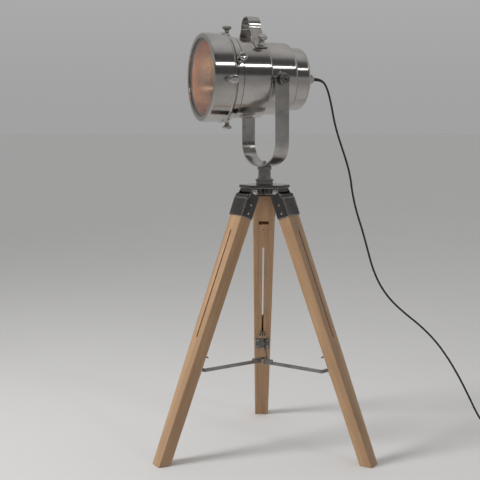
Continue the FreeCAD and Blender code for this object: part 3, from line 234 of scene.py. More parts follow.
class Finish:
    """A Principled material and its nodes, in the frame of a place if one is given."""

    def __init__(self, name, base=None, **sockets):
        self.material = bpy.data.materials.new(name)
        self.material.use_nodes = True
        self.tree = self.material.node_tree
        self.tree.nodes.clear()
        self.shader = self.tree.nodes.new("ShaderNodeBsdfPrincipled")
        output = self.tree.nodes.new("ShaderNodeOutputMaterial")
        self.tree.links.new(self.shader.outputs[0], output.inputs["Surface"])
        for socket, value in sockets.items():
            self.put(self.shader, socket.replace("_", " "), value)
        coordinates = self.tree.nodes.new("ShaderNodeTexCoord")
        self.coordinates = coordinates.outputs["Object"]
        self.place = self.coordinates
        if base is not None:
            self.place = self.node(
                "ShaderNodeMapping",
                {"Vector": self.coordinates, "Location": base.to_translation(),
                 "Rotation": base.to_euler()},
                vector_type="TEXTURE",
            ).outputs[0]

    def put(self, node, socket, value):
        if isinstance(value, bpy.types.NodeSocket):
            self.tree.links.new(value, node.inputs[socket])
        else:
            node.inputs[socket].default_value = value

    def node(self, kind, inputs=None, **settings):
        made = self.tree.nodes.new(kind)
        for setting, value in settings.items():
            setattr(made, setting, value)
        for socket, value in (inputs or {}).items():
            self.put(made, socket, value)
        return made

    def calc(self, operation, first, second=0.0):
        return self.node("ShaderNodeMath", {0: first, 1: second},
                         operation=operation).outputs[0]

    def times(self, first, second):
        return self.calc("MULTIPLY", first, second)

    def plus(self, first, second):
        return self.calc("ADD", first, second)

    def vector(self, operation, inputs, output=0):
        return self.node("ShaderNodeVectorMath", inputs,
                         operation=operation).outputs[output]

    def separated(self):
        """The place's x, y and z."""
        return self.node("ShaderNodeSeparateXYZ", {"Vector": self.place}).outputs[:3]

    def joined(self, x, y, z):
        return self.node("ShaderNodeCombineXYZ", {0: x, 1: y, 2: z}).outputs[0]

    def stretched(self, x, y, z):
        """The place times a factor along each axis, for grain with a direction."""
        return self.vector("MULTIPLY", {0: self.place, 1: (x, y, z)})

    def noise(self, scale, vector=None, detail=3.0, roughness=0.55, distortion=0.0):
        return self.node("ShaderNodeTexNoise", {
            "Vector": vector or self.place, "Scale": scale, "Detail": detail,
            "Roughness": roughness, "Distortion": distortion,
        }).outputs["Fac"]

    def band(self, value, low, high, start=0.0, end=1.0):
        """Maps a range of a value to another, and holds it there beyond."""
        return self.node("ShaderNodeMapRange", {
            "Value": value, "From Min": low, "From Max": high,
            "To Min": start, "To Max": end,
        }).outputs[0]

    def mix(self, share, first, second):
        return self.node("ShaderNodeMix", {0: share, 6: first, 7: second},
                         data_type="RGBA").outputs[2]

    def stretch_gloss(self, base):
        """Gloss runs across the rings: along the axis, and outwards on flat ends."""
        out = self.vector("SUBTRACT", {0: self.coordinates, 1: base.to_translation()})
        around = self.vector("CROSS_PRODUCT", {0: base.to_3x3() @ UP, 1: out})
        turned = self.node("ShaderNodeVectorTransform", {0: around},
                           vector_type="VECTOR", convert_from="OBJECT",
                           convert_to="WORLD").outputs[0]
        normal = self.node("ShaderNodeNewGeometry").outputs["Normal"]
        along = self.vector("CROSS_PRODUCT", {0: turned, 1: normal})
        self.put(self.shader, "Tangent", self.vector("NORMALIZE", {0: along}))

    def rounded(self, radius):
        """The normal as if edges were rounded to a radius, in metres."""
        return self.node("ShaderNodeBevel", {"Radius": radius},
                         samples=BEVEL_SAMPLES).outputs[0]

    def edges(self, radius, low=0.03, high=0.35):
        """0 on open faces and 1 on outside and inside edges."""
        soft = self.rounded(radius)
        plain = self.node("ShaderNodeNewGeometry").outputs["Normal"]
        along = self.vector("DOT_PRODUCT", {0: soft, 1: plain}, "Value")
        return self.band(self.calc("SUBTRACT", 1.0, along), low, high)

    def finish(self, colour, roughness, relief=None, rounding=None):
        """The material. Relief is its height, strength and distance."""
        self.put(self.shader, "Base Color", colour)
        self.put(self.shader, "Roughness", roughness)
        if relief:
            inputs = dict(zip(("Height", "Strength", "Distance"), relief))
            if rounding:
                inputs["Normal"] = self.rounded(rounding)
            bump = self.node("ShaderNodeBump", inputs).outputs[0]
            self.put(self.shader, "Normal", bump)
        return self.material


def grey(level, warmth=0.0):
    return (level * (1 + warmth), level, level * (1 - warmth), 1.0)


def shaded(colour, share):
    """A colour made darker or paler."""
    return tuple(min(value * share, 1.0) for value in colour[:3]) + (1.0,)


COPPER, COPPER_DULL = (0.94, 0.56, 0.31, 1), (0.89, 0.51, 0.27, 1)
BEECH, BEECH_DARK = (0.550, 0.352, 0.200, 1), (0.355, 0.208, 0.112, 1)
GLAZE, GLAZE_SHADE = (0.78, 0.75, 0.68, 1), (0.66, 0.62, 0.54, 1)
GLAZE_SPECK = (0.30, 0.25, 0.20, 1)
LENS, LENS_DUST = (0.985, 0.99, 0.985, 1), (0.72, 0.72, 0.70, 1)
FROST, FROST_SHADE = (0.90, 0.89, 0.86, 1), (0.82, 0.80, 0.75, 1)
SPECK, PIT, DUST = grey(0.22, 0.08), grey(0.16, 0.06), grey(0.055, 0.05)
# Paler colours for edges: partly rubbed, partly a painted highlight.
RUBBED_AND_SHEEN_SHEET, RUBBED_AND_SHEEN_BAR, RUBBED_AND_SHEEN_BLACK = grey(0.78, 0.02), grey(0.85, 0.02), grey(0.10)


def spun_metal(name, colour, dull, shine, stretch=0.8, depth=0.05, lines=1.0):
    """Sheet metal spun on the head's axis, then polished: fine rings, soft smudges."""
    made = Finish(name, HEAD, Metallic=1.0, Anisotropic=stretch)
    x, y, z = made.separated()
    made.stretch_gloss(HEAD)
    radius = made.calc("SQRT", made.plus(made.times(x, x), made.times(y, y)))
    track = made.plus(z, radius)

    def ringed(around, across):
        return made.joined(made.times(x, around), made.times(y, around),
                           made.times(track, across))

    rings = made.noise(1.0, ringed(7.0, 620.0), detail=4.0, roughness=0.7)
    waves = made.noise(1.0, ringed(5.0, 60.0), detail=1.0)
    smudge = made.noise(11.0, detail=5.0, roughness=0.62, distortion=0.6)
    specks = made.band(made.noise(230.0, detail=2.0), 0.66, 0.74)
    # Edges are made paler: partly rubbed metal, partly a painted highlight along each
    # edge.
    wear_and_sheen = made.edges(0.0016)
    tone = made.mix(made.band(smudge, 0.42, 0.68), colour, dull)
    tone = made.mix(made.times(specks, 0.45 * lines), tone, SPECK)
    tone = made.mix(made.times(wear_and_sheen, 0.5), tone, RUBBED_AND_SHEEN_SHEET)
    smooth, coarse = shine * (1 - 0.2 * lines), shine * (1 + 0.3 * lines)
    rough = made.plus(made.band(rings, 0.3, 0.75, smooth, coarse),
                      made.band(smudge, 0.45, 0.75, 0.0, 0.05))
    height = made.plus(made.times(rings, 0.04), waves)
    return made.finish(tone, rough, (height, depth, 0.0008), rounding=0.0009)


def bright_metal(name, colour, dull, shine, base=None, grain=(1, 1, 1), marks=0.3,
                 edge_radius=0.0011):
    """Polished or brushed metal: a grain, fine scratches, and edges made paler, partly
    rubbed and partly a painted highlight.
    """
    made = Finish(name, base, Metallic=1.0)
    brushed = made.noise(420.0, made.stretched(*grain), detail=4.0, roughness=0.65)
    smudge = made.noise(26.0, detail=5.0, roughness=0.6, distortion=0.4)
    dents = made.noise(60.0, detail=1.0)
    pits = made.band(made.noise(520.0, detail=2.0), 0.67, 0.76)
    # Paler edges: partly rubbed, partly a painted highlight.
    wear_and_sheen = made.edges(edge_radius, 0.02, 0.2)
    tone = made.mix(made.band(smudge, 0.4, 0.7), colour, dull)
    tone = made.mix(made.times(pits, marks), tone, PIT)
    tone = made.mix(made.times(wear_and_sheen, 0.8), tone, RUBBED_AND_SHEEN_BAR)
    rough = made.plus(made.band(brushed, 0.3, 0.75, shine * 0.7, shine * 1.4),
                      made.band(smudge, 0.5, 0.8, 0.0, 0.12))
    height = made.plus(made.times(brushed, 0.12), dents)
    return made.finish(tone, rough, (height, 0.12, 0.0007), rounding=edge_radius * 0.65)


def wood(name, base, offset):
    """Oiled beech, grained along the leg: figure, fine lines, flecks, and edges made
    paler, partly rubbed and partly a painted highlight.
    """
    made = Finish(name, base @ shift(*offset), Coat_Weight=0.16, Coat_Roughness=0.32,
                  Specular_IOR_Level=0.42)
    figure = made.noise(26.0, made.stretched(1.0, 1.0, 0.045), detail=4.0,
                        distortion=0.9)
    growth = made.node("ShaderNodeTexWave", {
        "Vector": made.stretched(1.0, 0.65, 0.030), "Scale": 46.0, "Distortion": 7.5,
        "Detail": 3.0, "Detail Scale": 0.9, "Detail Roughness": 0.6,
    }, bands_direction="X").outputs["Fac"]
    lines = made.noise(620.0, made.stretched(1.0, 1.0, 0.018), detail=4.0,
                       roughness=0.7)
    flecks = made.noise(900.0, made.stretched(1.0, 1.0, 0.12), detail=1.0)
    flecks = made.band(flecks, 0.63, 0.73)
    patches = made.noise(7.0, detail=3.0, distortion=0.5)
    # Paler edges: partly rubbed, partly a painted highlight.
    wear_and_sheen = made.edges(0.0028, 0.02, 0.25)
    deep, pale = shaded(BEECH_DARK, 0.62), shaded(BEECH, 1.28)
    tone = made.mix(made.band(figure, 0.33, 0.70), BEECH, BEECH_DARK)
    tone = made.mix(made.times(made.band(growth, 0.55, 1.0), 0.42), tone, BEECH_DARK)
    tone = made.mix(made.times(made.band(lines, 0.50, 0.78), 0.45), tone, deep)
    tone = made.mix(made.times(flecks, 0.35), tone, deep)
    tone = made.mix(made.band(patches, 0.52, 0.78, 0.0, 0.30), tone, deep)
    tone = made.mix(made.times(wear_and_sheen, 0.40), tone, pale)
    rough = made.plus(made.band(lines, 0.3, 0.8, 0.36, 0.52),
                      made.band(patches, 0.4, 0.7, 0.0, 0.08))
    height = made.calc("SUBTRACT", made.times(growth, 0.25),
                       made.plus(made.times(lines, 0.6), made.times(flecks, 0.5)))
    return made.finish(tone, rough, (height, 0.22, 0.0006), rounding=0.0012)


def moulded(name, colour, shine, grain=380.0, depth=0.12):
    """Moulded plastic or rubber: a fine grain, patches of dust, and edges made paler,
    partly rubbed and partly a painted highlight.
    """
    made = Finish(name, Specular_IOR_Level=0.45)
    fine = made.noise(grain, detail=3.0, roughness=0.6)
    broad = made.noise(38.0, detail=3.0)
    # Paler edges: partly rubbed, partly a painted highlight.
    wear_and_sheen = made.edges(0.0007)
    tone = made.mix(made.band(broad, 0.4, 0.7, 0.0, 0.35), colour, DUST)
    tone = made.mix(made.times(wear_and_sheen, 0.35), tone, RUBBED_AND_SHEEN_BLACK)
    rough = made.band(fine, 0.3, 0.7, shine - 0.06, shine + 0.08)
    return made.finish(tone, rough, (fine, depth, 0.0003), rounding=0.0004)


def glazed_ceramic():
    made = Finish("glazed_ceramic", Coat_Weight=0.5, Coat_Roughness=0.08)
    cloud = made.noise(70.0, detail=3.0)
    specks = made.band(made.noise(700.0, detail=1.0), 0.68, 0.75)
    tone = made.mix(made.band(cloud, 0.35, 0.7), GLAZE, GLAZE_SHADE)
    tone = made.mix(made.times(specks, 0.5), tone, GLAZE_SPECK)
    rough = made.band(cloud, 0.3, 0.7, 0.22, 0.34)
    return made.finish(tone, rough, (cloud, 0.08, 0.0004), rounding=0.0006)


def lens_glass():
    made = Finish("lens_glass", HEAD, Transmission_Weight=1.0, IOR=1.32)
    haze = made.noise(22.0, detail=5.0, distortion=0.4)
    dust = made.band(made.noise(650.0, detail=2.0), 0.66, 0.74)
    tone = made.mix(made.times(dust, 0.25), LENS, LENS_DUST)
    rough = made.band(haze, 0.5, 0.85, 0.0, 0.03)
    return made.finish(tone, rough, (haze, 0.006, 0.0004))


def bulb_glass():
    made = Finish("bulb_glass", HEAD, Transmission_Weight=0.35, IOR=1.45)
    cloud = made.noise(45.0, detail=4.0)
    grain = made.noise(900.0, detail=1.0)
    tone = made.mix(made.band(cloud, 0.35, 0.7), FROST, FROST_SHADE)
    rough = made.band(grain, 0.3, 0.7, 0.34, 0.48)
    return made.finish(tone, rough, (grain, 0.06, 0.0002))


finishes = {
    "spun": spun_metal("spun_nickel", grey(0.47, 0.045), grey(0.35, 0.065), shine=0.13),
    "copper": spun_metal("copper_reflector", COPPER, COPPER_DULL, shine=0.24,
                         stretch=0.2, depth=0.003, lines=0.2),
    "strap": bright_metal("strap_nickel", grey(0.43, 0.045), grey(0.31, 0.06), 0.20,
                          HEAD, grain=(0.05, 1, 1), marks=0.35),
    "nickel": bright_metal("polished_nickel", grey(0.50, 0.04), grey(0.37, 0.06), 0.10,
                           marks=0.35),
    "dark": bright_metal("dark_nickel", grey(0.15, 0.05), grey(0.10, 0.06), 0.13,
                         edge_radius=0.0022),
    "swivel": bright_metal("swivel_nickel", grey(0.23, 0.04), grey(0.15, 0.06), 0.14,
                           edge_radius=0.0018),
    "hub": bright_metal("hub_steel", grey(0.10, 0.04), grey(0.07, 0.06), 0.13,
                        edge_radius=0.0030),
    "steel": bright_metal("dull_steel", grey(0.27, 0.02), grey(0.18, 0.04), 0.24,
                          grain=(1, 0.3, 1), marks=0.5),
    "plastic": moulded("black_moulding", grey(0.020), 0.42),
    "sheath": moulded("black_cord", grey(0.016), 0.50, grain=700.0, depth=0.08),
    "rubber": moulded("black_rubber", grey(0.025), 0.66, grain=520.0, depth=0.16),
    "ceramic": glazed_ceramic(),
    "glass": lens_glass(),
    "bulb": bulb_glass(),
}
for number, side in enumerate(SIDES):
    # Each piece of wood is cut from its own place in the grain.
    cuts = {"leg_": (13 + 31 * number, 7, 90), "bar_": (171 + 23 * number, 40, 310)}
    for part, cut in cuts.items():
        finishes[part + side] = wood("beech_" + part + side, LEGS[side], cut)
    finishes["bracket_" + side] = bright_metal(
        "bracket_steel_" + side, grey(0.11, 0.04), grey(0.07, 0.06), 0.13, LEGS[side],
        grain=(1, 1, 0.05), edge_radius=0.0045)

# ------------------------------------------------------------------ cord

EXIT = Vector((144.98, 55.65, 1084))
OUTWARDS = -FACING
CORD_RADIUS = 3.0
STRAIGHT = 26       # the cord's first stretch, straight out of the gland
HANGING = [
    (186, 72, 1059), (199, 78, 1010), (209, 83, 958), (225, 87, 906), (245, 89, 850),
    (259, 91, 800), (266, 93, 748), (279, 94, 694), (297, 95, 640), (314, 95, 580),
    (330, 94, 522), (354, 92, 468), (388, 90, 422), (430, 88, 384), (478, 87, 346),
    (524, 87, 300), (564, 88, 246), (600, 89, 186), (632, 90, 124), (660, 91, 66),
    (692, 92, 22), (736, 92, 4.2),
]
COIL_CENTRE = Vector((784, 130.8, 3.2))
COIL_TURNS, COIL_STEPS = 4, 12
COIL_OUTER, COIL_INNER, COIL_LAYER = 39.8, 26.2, 6.8
TAIL = [(810, 90.1, 10), (836, 89.2, 8.2), (862, 88.3, 7.2)]


def coil_points():
    """Two turns inwards on the floor, a climb, and two turns outwards on top."""
    total = COIL_TURNS * COIL_STEPS
    points = []
    for step in range(total + 1):
        inwards = 1 - abs(2 * step / total - 1)
        radius = COIL_OUTER + (COIL_INNER - COIL_OUTER) * inwards
        climb = min(max((step - total / 2) / (COIL_STEPS / 2) + 0.5, 0.0), 1.0)
        level = COIL_LAYER * climb * climb * (3 - 2 * climb)
        angle = math.radians(360 * step / COIL_STEPS - 90)
        reach = radius / math.cos(math.pi / COIL_STEPS)
        spoke = Vector((reach * math.cos(angle), reach * math.sin(angle), level))
        points.append(COIL_CENTRE + spoke)
    return points


def cord_curve():
    points = [EXIT, EXIT + OUTWARDS * STRAIGHT] + HANGING + coil_points() + TAIL
    curve = bpy.data.curves.new("cord_line", "CURVE")
    curve.dimensions = "3D"
    curve.resolution_u = 10
    spline = curve.splines.new("NURBS")
    spline.points.add(len(points) - 1)
    for control, point in zip(spline.points, points):
        control.co = (*(Vector(point) * MM), 1)
    spline.use_endpoint_u = True
    spline.order_u = 3
    return curve


def curve_mesh(curve):
    holder = bpy.data.objects.new(curve.name, curve)
    mesh = bpy.data.meshes.new_from_object(holder)
    bpy.data.objects.remove(holder)
    return mesh


def make_cord():
    """The lead as a tube, and the points of its middle line."""
    curve = cord_curve()
    line = curve_mesh(curve)
    path = [vert.co.copy() for vert in line.vertices]
    bpy.data.meshes.remove(line)
    curve.bevel_depth = CORD_RADIUS * MM
    curve.bevel_resolution = 4
    curve.use_fill_caps = True
    mesh = curve_mesh(curve)
    mesh.name = "cord_lead"
    mesh.materials.clear()
    mesh.materials.append(finishes["sheath"])
    mesh.shade_smooth()
    made = bpy.data.objects.new("cord_lead", mesh)
    collection.objects.link(made)
    return made, path


SLEEVE, SLEEVE_STEPS, SLEEVE_RIBS = 30.0, 32, 6
SLEEVE_WIDE, SLEEVE_TAPER = 5.4, 1.9
SLEEVE_RIB = [(0.03, 0.0), (0.075, -0.1), (0.09, -0.6), (0.14, -0.65)]
SLEEVE_LIP = [(0.97, 3.5), (1.0, 3.3)]

cord, cord_path = make_cord()
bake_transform(cord)
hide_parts("cord", "cord_coil", "cord_tail")


def sleeve_profile():
    """Ribs that get narrower, and a thin lip: (share of the length, radius)."""
    profile = [(0.0, SLEEVE_WIDE)]
    for rib in range(SLEEVE_RIBS):
        share = rib / SLEEVE_RIBS
        wide = SLEEVE_WIDE - SLEEVE_TAPER * share
        profile += [(share + further, wide + out) for further, out in SLEEVE_RIB]
    return profile + SLEEVE_LIP


def cord_sleeve(path):
    """A tapered, ribbed sleeve round the start of the cord."""
    travelled = [0.0]
    for before, after in zip(path, path[1:]):
        travelled.append(travelled[-1] + (after - before).length)
    rings = []
    for share, radius in sleeve_profile():
        target = SLEEVE * MM * share
        index = next(i for i in range(1, len(path)) if travelled[i] >= target)
        before, after = path[index - 1], path[index]
        step = travelled[index] - travelled[index - 1]
        centre = before.lerp(after, (target - travelled[index - 1]) / step)
        tangent = (after - before).normalized()
        across = tangent.cross(UP).normalized()
        second = across.cross(tangent)
        ring = []
        for spoke in range(SLEEVE_STEPS):
            angle = 2 * math.pi * spoke / SLEEVE_STEPS
            out = across * math.cos(angle) + second * math.sin(angle)
            ring.append((centre + out * radius * MM) / MM)
        rings.append(ring)
    bm = bmesh.new()
    skin(bm, Matrix.Identity(4), rings)
    return piece("cord_sleeve", bm, "head", "rubber")


# ------------------------------------------------------------------ plug

PLUG_HEADING = -1.98  # degrees, from +X
PLUG = shift(*TAIL[-1]) @ turn(PLUG_HEADING, "Z") @ turn(90, "Y")
PLUG_STEPS, PIN_STEPS = 40, 24
PIN_SPREAD = 9.3      # the pins from the plug's middle
RELIEF_RIBS, RELIEF_PITCH = 6, 3.9
RELIEF_WIDE, RELIEF_GROWTH = 4.0, 0.36
RELIEF_RIB = [(0.0, 0.1), (0.1, 2.2), (-0.7, 2.5), (-0.7, 3.7)]
RELIEF_START, RELIEF_END = [(3.3, 0.0)], [(6.2, 24.2), (6.2, 26.0)]

# Sections of the plug's body: height, half width, half thickness, squareness.
SHOULDER = [
    (23.2, 5.2, 4.6, 2.2), (24.0, 6.6, 5.6, 2.6), (27.0, 8.2, 6.3, 3.4),
    (33.0, 10.6, 6.5, 4.2), (40.0, 12.6, 6.5, 5.0), (41.0, 12.9, 6.5, 5.0),
]
GROOVE = [
    (0.0, 12.9, 6.5, 5.0), (0.3, 12.3, 6.0, 5.0), (1.3, 12.3, 6.0, 5.0),
    (1.6, 12.9, 6.5, 5.0),
]
GROOVES, GROOVE_FOOT, GROOVE_PITCH = 3, 42.6, 3.4
FACE = [
    (54.0, 13.0, 6.5, 5.0), (57.0, 13.0, 6.5, 5.0), (57.7, 12.7, 6.2, 4.6),
    (58.0, 12.2, 5.7, 4.2),
]
PIN_SLEEVE = [(2.0, 57.5), (2.0, 66.8), (1.8, 67.0), (1.6, 67.0)]
PIN = [(1.75, 66.5), (1.85, 74.6), (1.7, 75.8), (1.2, 76.7), (0.4, 77.0)]


def plug_ring(height, half_width, half_thick, power):
    """A rounded square: x is the plug's thickness here and y its width."""
    points = []
    for step in range(PLUG_STEPS):
        angle = 2 * math.pi * (step + 0.5) / PLUG_STEPS
        c, s = math.cos(angle), math.sin(angle)
        points.append((math.copysign(abs(c) ** (2 / power), c) * half_thick,
                       math.copysign(abs(s) ** (2 / power), s) * half_width, height))
    return points


def plug_relief():
    """The profile of the ribbed strain relief, which widens towards the plug."""
    profile = list(RELIEF_START)
    for rib in range(RELIEF_RIBS):
        foot, wide = rib * RELIEF_PITCH, RELIEF_WIDE + RELIEF_GROWTH * rib
        profile += [(wide + out, foot + further) for out, further in RELIEF_RIB]
    return profile + RELIEF_END


def make_plug():
    """The plug's body with its relief and grip grooves, its pins and their sleeves."""
    sections = list(SHOULDER)
    for groove in range(GROOVES):
        foot = GROOVE_FOOT + groove * GROOVE_PITCH
        sections += [(foot + height, *size) for height, *size in GROOVE]
    body, sleeves, pins = bmesh.new(), bmesh.new(), bmesh.new()
    lathe(body, PLUG, plug_relief(), steps=PLUG_STEPS)
    skin(body, PLUG, [plug_ring(*section) for section in sections + FACE])
    for hand in (1, -1):
        place = PLUG @ shift(0, PIN_SPREAD * hand, 0)
        lathe(sleeves, place, PIN_SLEEVE, steps=PIN_STEPS)
        lathe(pins, place, PIN, steps=PIN_STEPS)
    return [
        piece("plug_body", body, "yoke", "plastic", replaces="plug"),
        piece("plug_pin_sleeves", sleeves, "yoke", "plastic"),
        piece("plug_pins", pins, "yoke", "nickel"),
    ]


cord_sleeve(cord_path)
make_plug()

# ------------------------------------------------------------------ head fittings

# Where screws stand on the head: their angles, their radius and how far forward.
THUMBSCREW_PLACES = [
    ((0, 68, -68, 180), 115.5, 115.5), ((94, -94), 123.0, 146.4),
    ((39, -39), 116.2, 43.0),
]
SMALL_SCREW_PLACES = [((102, -102, 0), 122.9, 171.3), ((90, -90), 101.9, 12.0)]
THUMBSCREW = [
    (10.2, 0.0), (10.6, 0.4), (10.6, 1.7), (9.6, 2.4), (7.8, 2.8), (6.9, 4.4),
    (6.2, 7.5), (6.0, 11.0), (6.3, 14.5), (7.6, 17.4), (9.8, 19.2), (12.0, 20.2),
    (12.7, 20.9, 1), (13.0, 21.6, 1), (13.0, 25.2, 1), (12.6, 26.0, 1), (11.3, 27.1),
    (8.8, 28.1), (5.8, 28.7), (2.8, 28.95), (0.5, 29.0),
]
THUMBSCREW_SLOT = (0.9, 26.8)  # half its width, and the height of its floor
FIRST_TURN, NEXT_TURN = 25, 37  # degrees, so that no two slots stand alike
GLAND_NUT = [
    (13.2, 10.2), (14.0, 10.5, 1), (14.26, 11.0, 1), (14.26, 36.0, 1), (13.9, 38.2, 1),
    (13.0, 40.4, 0.4), (11.8, 42.6), (10.2, 44.6), (8.4, 46.2), (7.0, 47.2),
    (6.2, 47.9), (5.6, 48.3), (3.4, 48.3),
]
CAP_END = -107         # the head's back, along its axis
PAN_SCREW_TURN = 35
PAN_SCREW_RIM = 0.35   # shares of the screw's rise: its rim, and its slot's floor
PAN_SCREW_FLOOR = 0.45
PAN_SCREW_SLOT = 0.13  # half the slot's width, as a share of the radius


def head_places(table):
    return [on_head(angle, radius, forward)
            for angles, radius, forward in table for angle in angles]


def thumbscrews():
    """Mushroom-headed screws: a waisted stem and a knurled, slotted head."""
    bm = bmesh.new()
    for index, place in enumerate(head_places(THUMBSCREW_PLACES)):
        turned = place @ turn(FIRST_TURN + NEXT_TURN * index, "Z")
        slotted(bm, turned, THUMBSCREW, *THUMBSCREW_SLOT, steps=96, ridges=24,
                depth=0.5)
    piece("knurled_thumbscrews", bm, "head", "nickel",
          replaces="thumbscrews")


def pan_screw(bm, place, radius, rise):
    profile = [(radius, 0.0)] + dome(radius, rise * PAN_SCREW_RIM, rise)
    slotted(bm, place @ turn(PAN_SCREW_TURN, "Z"), profile, radius * PAN_SCREW_SLOT,
            rise * PAN_SCREW_FLOOR, steps=32)


def head_screws():
    """Small screws through the bezel and the rear drum."""
    bm = bmesh.new()
    for place in head_places(SMALL_SCREW_PLACES):
        pan_screw(bm, place, radius=3.4, rise=1.9)
    piece("head_screws", bm, "head", "nickel")


def gland_nut():
    """The domed nut of the gland, with grip ribs round its wide end."""
    bm = bmesh.new()
    lathe(bm, HEAD @ shift(0, 0, CAP_END) @ turn(180, "X"), GLAND_NUT, steps=120,
          ridges=20, depth=1.0)
    piece("gland_grip_nut", bm, "head", "nickel", replaces="gland_nut")


# ------------------------------------------------------------------ leg fittings

# Drops are measured down the leg from its hinge pin.
FOOT_HALF, FOOT_DROP, LEG_TAPER = 21.3, 814.6, 0.015865
BRACKET_WALL = 2.0
CHEEK_SCREW_DROPS = (40, 65)
PLATE_SCREW_DROPS, PLATE_SCREW_SPREAD, PLATE_FACE = (517, 539), 15.5, -19.6

# The black cover over each leg's top end, which paints the shade there.
CAP_HALF = 34.4
CAP_BACK, CAP_FRONT = -17.9, 18.5
CAP_TOP, CAP_UNDER, CAP_LOW = -13.4, -14.2, -24.4
CAP_LIP = 17.7  # the inside of the lip over the leg's outer face
CAP_FLANGE = (33.7, 34.9)


def leg_half(drop):
    """Half of a leg's width at a drop."""
    return FOOT_HALF + (FOOT_DROP - drop) * LEG_TAPER


def leg_screws(side):
    """Pan-head screws through the bracket's cheeks and the spreader's plate."""
    bm = bmesh.new()
    for drop in CHEEK_SCREW_DROPS:
        reach = leg_half(drop) + BRACKET_WALL
        for hand in (1, -1):
            place = LEGS[side] @ shift(reach * hand, 0, -drop) @ turn(90 * hand, "Y")
            pan_screw(bm, place, radius=3.2, rise=1.7)
    for hand in (1, -1):
        for drop in PLATE_SCREW_DROPS:
            across = PLATE_SCREW_SPREAD * hand
            place = LEGS[side] @ shift(across, PLATE_FACE, -drop) @ turn(90, "X")
            pan_screw(bm, place, radius=2.8, rise=1.5)
    piece("bracket_screws_" + side, bm, "leg_" + side, "nickel")


def leg_shade_cap(side):
    """A black cover over the wood's top end, with a lip in front and side flanges: a
    dark sheet that paints the shade inside the bracket above the wood.
    """
    cover = [(CAP_BACK, CAP_UNDER), (CAP_BACK, CAP_TOP), (CAP_FRONT, CAP_TOP),
             (CAP_FRONT, CAP_LOW), (CAP_LIP, CAP_LOW), (CAP_LIP, CAP_UNDER)]
    flange = [(CAP_BACK, CAP_LOW), (CAP_FRONT, CAP_LOW), (CAP_FRONT, CAP_TOP),
              (CAP_BACK, CAP_TOP)]
    inner, outer = CAP_FLANGE
    bm = bmesh.new()
    for outline, start, end in ((cover, -CAP_HALF, CAP_HALF), (flange, -outer, -inner),
                                (flange, inner, outer)):
        skin(bm, LEGS[side], [[(x, y, z) for y, z in outline] for x in (start, end)])
    piece("leg_cap_" + side, bm, "leg_" + side, "plastic")


thumbscrews()
gland_nut()
head_screws()
for side in SIDES:
    leg_screws(side)
    leg_shade_cap(side)

# ------------------------------------------------------------------ CAD finishes

FINISH_OF = {
    "lamp_housing": "spun", "rear_housing": "spun", "end_cap": "spun",
    "neck_ring": "spun", "bezel": "spun", "reflector": "copper", "handle": "strap",
    "yoke": "strap", "lens": "glass", "bulb": "bulb", "lens_gasket": "rubber",
    "lamp_holder": "ceramic", "tilt_knob_near": "dark", "tilt_knob_far": "dark",
    "swivel_stem": "swivel", "swivel_collar": "swivel", "swivel_washer": "swivel",
    "swivel_lock_knob": "swivel", "hub_plate": "hub", "spreader_hub": "steel",
    "hub_rivets": "steel", "cord": "sheath", "cord_coil": "sheath",
    "cord_tail": "sheath", "plug": "plastic",
}
for side in SIDES:
    FINISH_OF["leg_channel_" + side] = "leg_" + side
    FINISH_OF["leg_slider_" + side] = "bar_" + side
    FINISH_OF["leg_bracket_" + side] = "bracket_" + side
    FINISH_OF["spreader_bracket_" + side] = "dark"
    for start in ("spreader_arm_", "clamp_stud_", "guide_bolt_"):
        FINISH_OF[start + side] = "steel"

for name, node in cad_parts.items():
    for slot in node.material_slots:
        slot.material = finishes[FINISH_OF.get(name, "nickel")]

# ------------------------------------------------------------------ room and light

FLOOR_HALF = 150
FLOOR_DROP = 0.0004  # the floor is just under the feet
HALF_WAY = 0.5       # where a new stop of a ramp starts out

# Brightness against the height of the direction: 0 at the horizon, 1 straight up.
NEAR_WALL = [
    (0.0, 0.36), (0.04, 0.31), (0.14, 0.10), (0.46, 0.10), (0.475, 2.2), (0.525, 2.2),
    (0.54, 0.10), (0.78, 0.10), (0.91, 0.45), (1.0, 0.65),
]
FAR_WALL = [
    (0.0, 0.36), (0.2, 0.42), (0.6, 0.50), (0.85, 0.58), (0.92, 0.62), (1.0, 0.65),
]
WALLS_MEET = (-0.45, 0.35)  # from the near wall to the far one, along y


def floor():
    bm = bmesh.new()
    bmesh.ops.create_grid(bm, x_segments=8, y_segments=8, size=FLOOR_HALF)
    mesh = bpy.data.meshes.new("floor")
    bm.to_mesh(mesh)
    bm.free()
    made = Finish("pale_floor", Specular_IOR_Level=0.2)
    cloud = made.noise(1.6, detail=4.0)
    tone = made.mix(cloud, grey(0.74, 0.01), grey(0.77, 0.01))
    mesh.materials.append(made.finish(tone, 0.8))
    plane = bpy.data.objects.new("floor", mesh)
    plane.location.z = -FLOOR_DROP
    collection.objects.link(plane)


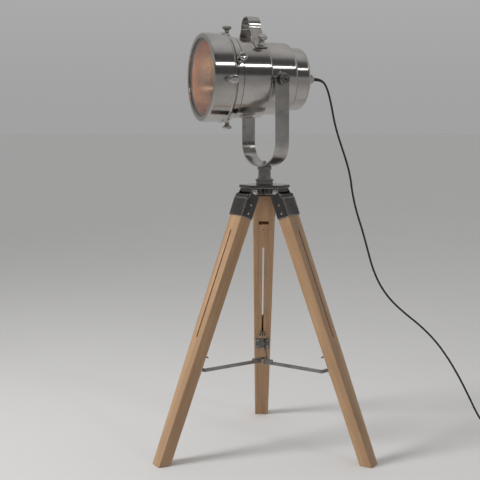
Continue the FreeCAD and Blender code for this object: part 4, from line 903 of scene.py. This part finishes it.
def area_light(name, place, target, size, power, spread=180, glossy=True):
    data = bpy.data.lights.new(name, "AREA")
    data.shape = "DISK"
    data.size = size
    data.energy = power
    data.spread = math.radians(spread)
    lamp = bpy.data.objects.new(name, data)
    lamp.visible_glossy = glossy
    lamp.location = place
    aim = Vector(target) - Vector(place)
    lamp.rotation_euler = aim.to_track_quat("-Z", "Y").to_euler()
    collection.objects.link(lamp)


def wall(tree, height, stops):
    """The brightness of a wall by height, as a colour."""
    ramp = tree.nodes.new("ShaderNodeValToRGB")
    ramp.color_ramp.interpolation = "EASE"
    elements = ramp.color_ramp.elements
    while len(elements) < len(stops):
        elements.new(HALF_WAY)
    for element, (position, level) in zip(elements, stops):
        element.position = position
        element.color = grey(level)
    tree.links.new(height, ramp.inputs[0])
    return ramp.outputs[0]


def sky():
    """A soft room: a bright ceiling, a pale wall behind the lamp, and in front a dark
    one with a bright strip at half height, which puts a thin highlight on the metal."""
    world = bpy.data.worlds.new("room")
    world.use_nodes = True
    tree = world.node_tree
    tree.nodes.clear()
    direction = tree.nodes.new("ShaderNodeTexCoord").outputs["Generated"]
    parts = tree.nodes.new("ShaderNodeSeparateXYZ")
    tree.links.new(direction, parts.inputs[0])
    walls = [wall(tree, parts.outputs[2], stops) for stops in (NEAR_WALL, FAR_WALL)]
    side = tree.nodes.new("ShaderNodeMapRange")
    side.interpolation_type = "SMOOTHSTEP"
    side.inputs["From Min"].default_value = WALLS_MEET[0]
    side.inputs["From Max"].default_value = WALLS_MEET[1]
    tree.links.new(parts.outputs[1], side.inputs["Value"])
    both = tree.nodes.new("ShaderNodeMix")
    both.data_type = "RGBA"
    tree.links.new(side.outputs[0], both.inputs[0])
    for index, colour in zip((6, 7), walls):
        tree.links.new(colour, both.inputs[index])
    background = tree.nodes.new("ShaderNodeBackground")
    tree.links.new(both.outputs[2], background.inputs[0])
    output = tree.nodes.new("ShaderNodeOutputWorld")
    tree.links.new(background.outputs[0], output.inputs[0])
    bpy.context.scene.world = world


floor()
sky()
area_light("key_light", (-3.5, -1.6, 3.0), (0, 0, 0.6), size=1.6, power=40,
           spread=100, glossy=False)
area_light("edge_light", (1.6, -1.7, 2.5), (0, 0, 1.0), size=0.16, power=4)
bpy.context.scene.view_settings.view_transform = "Standard"
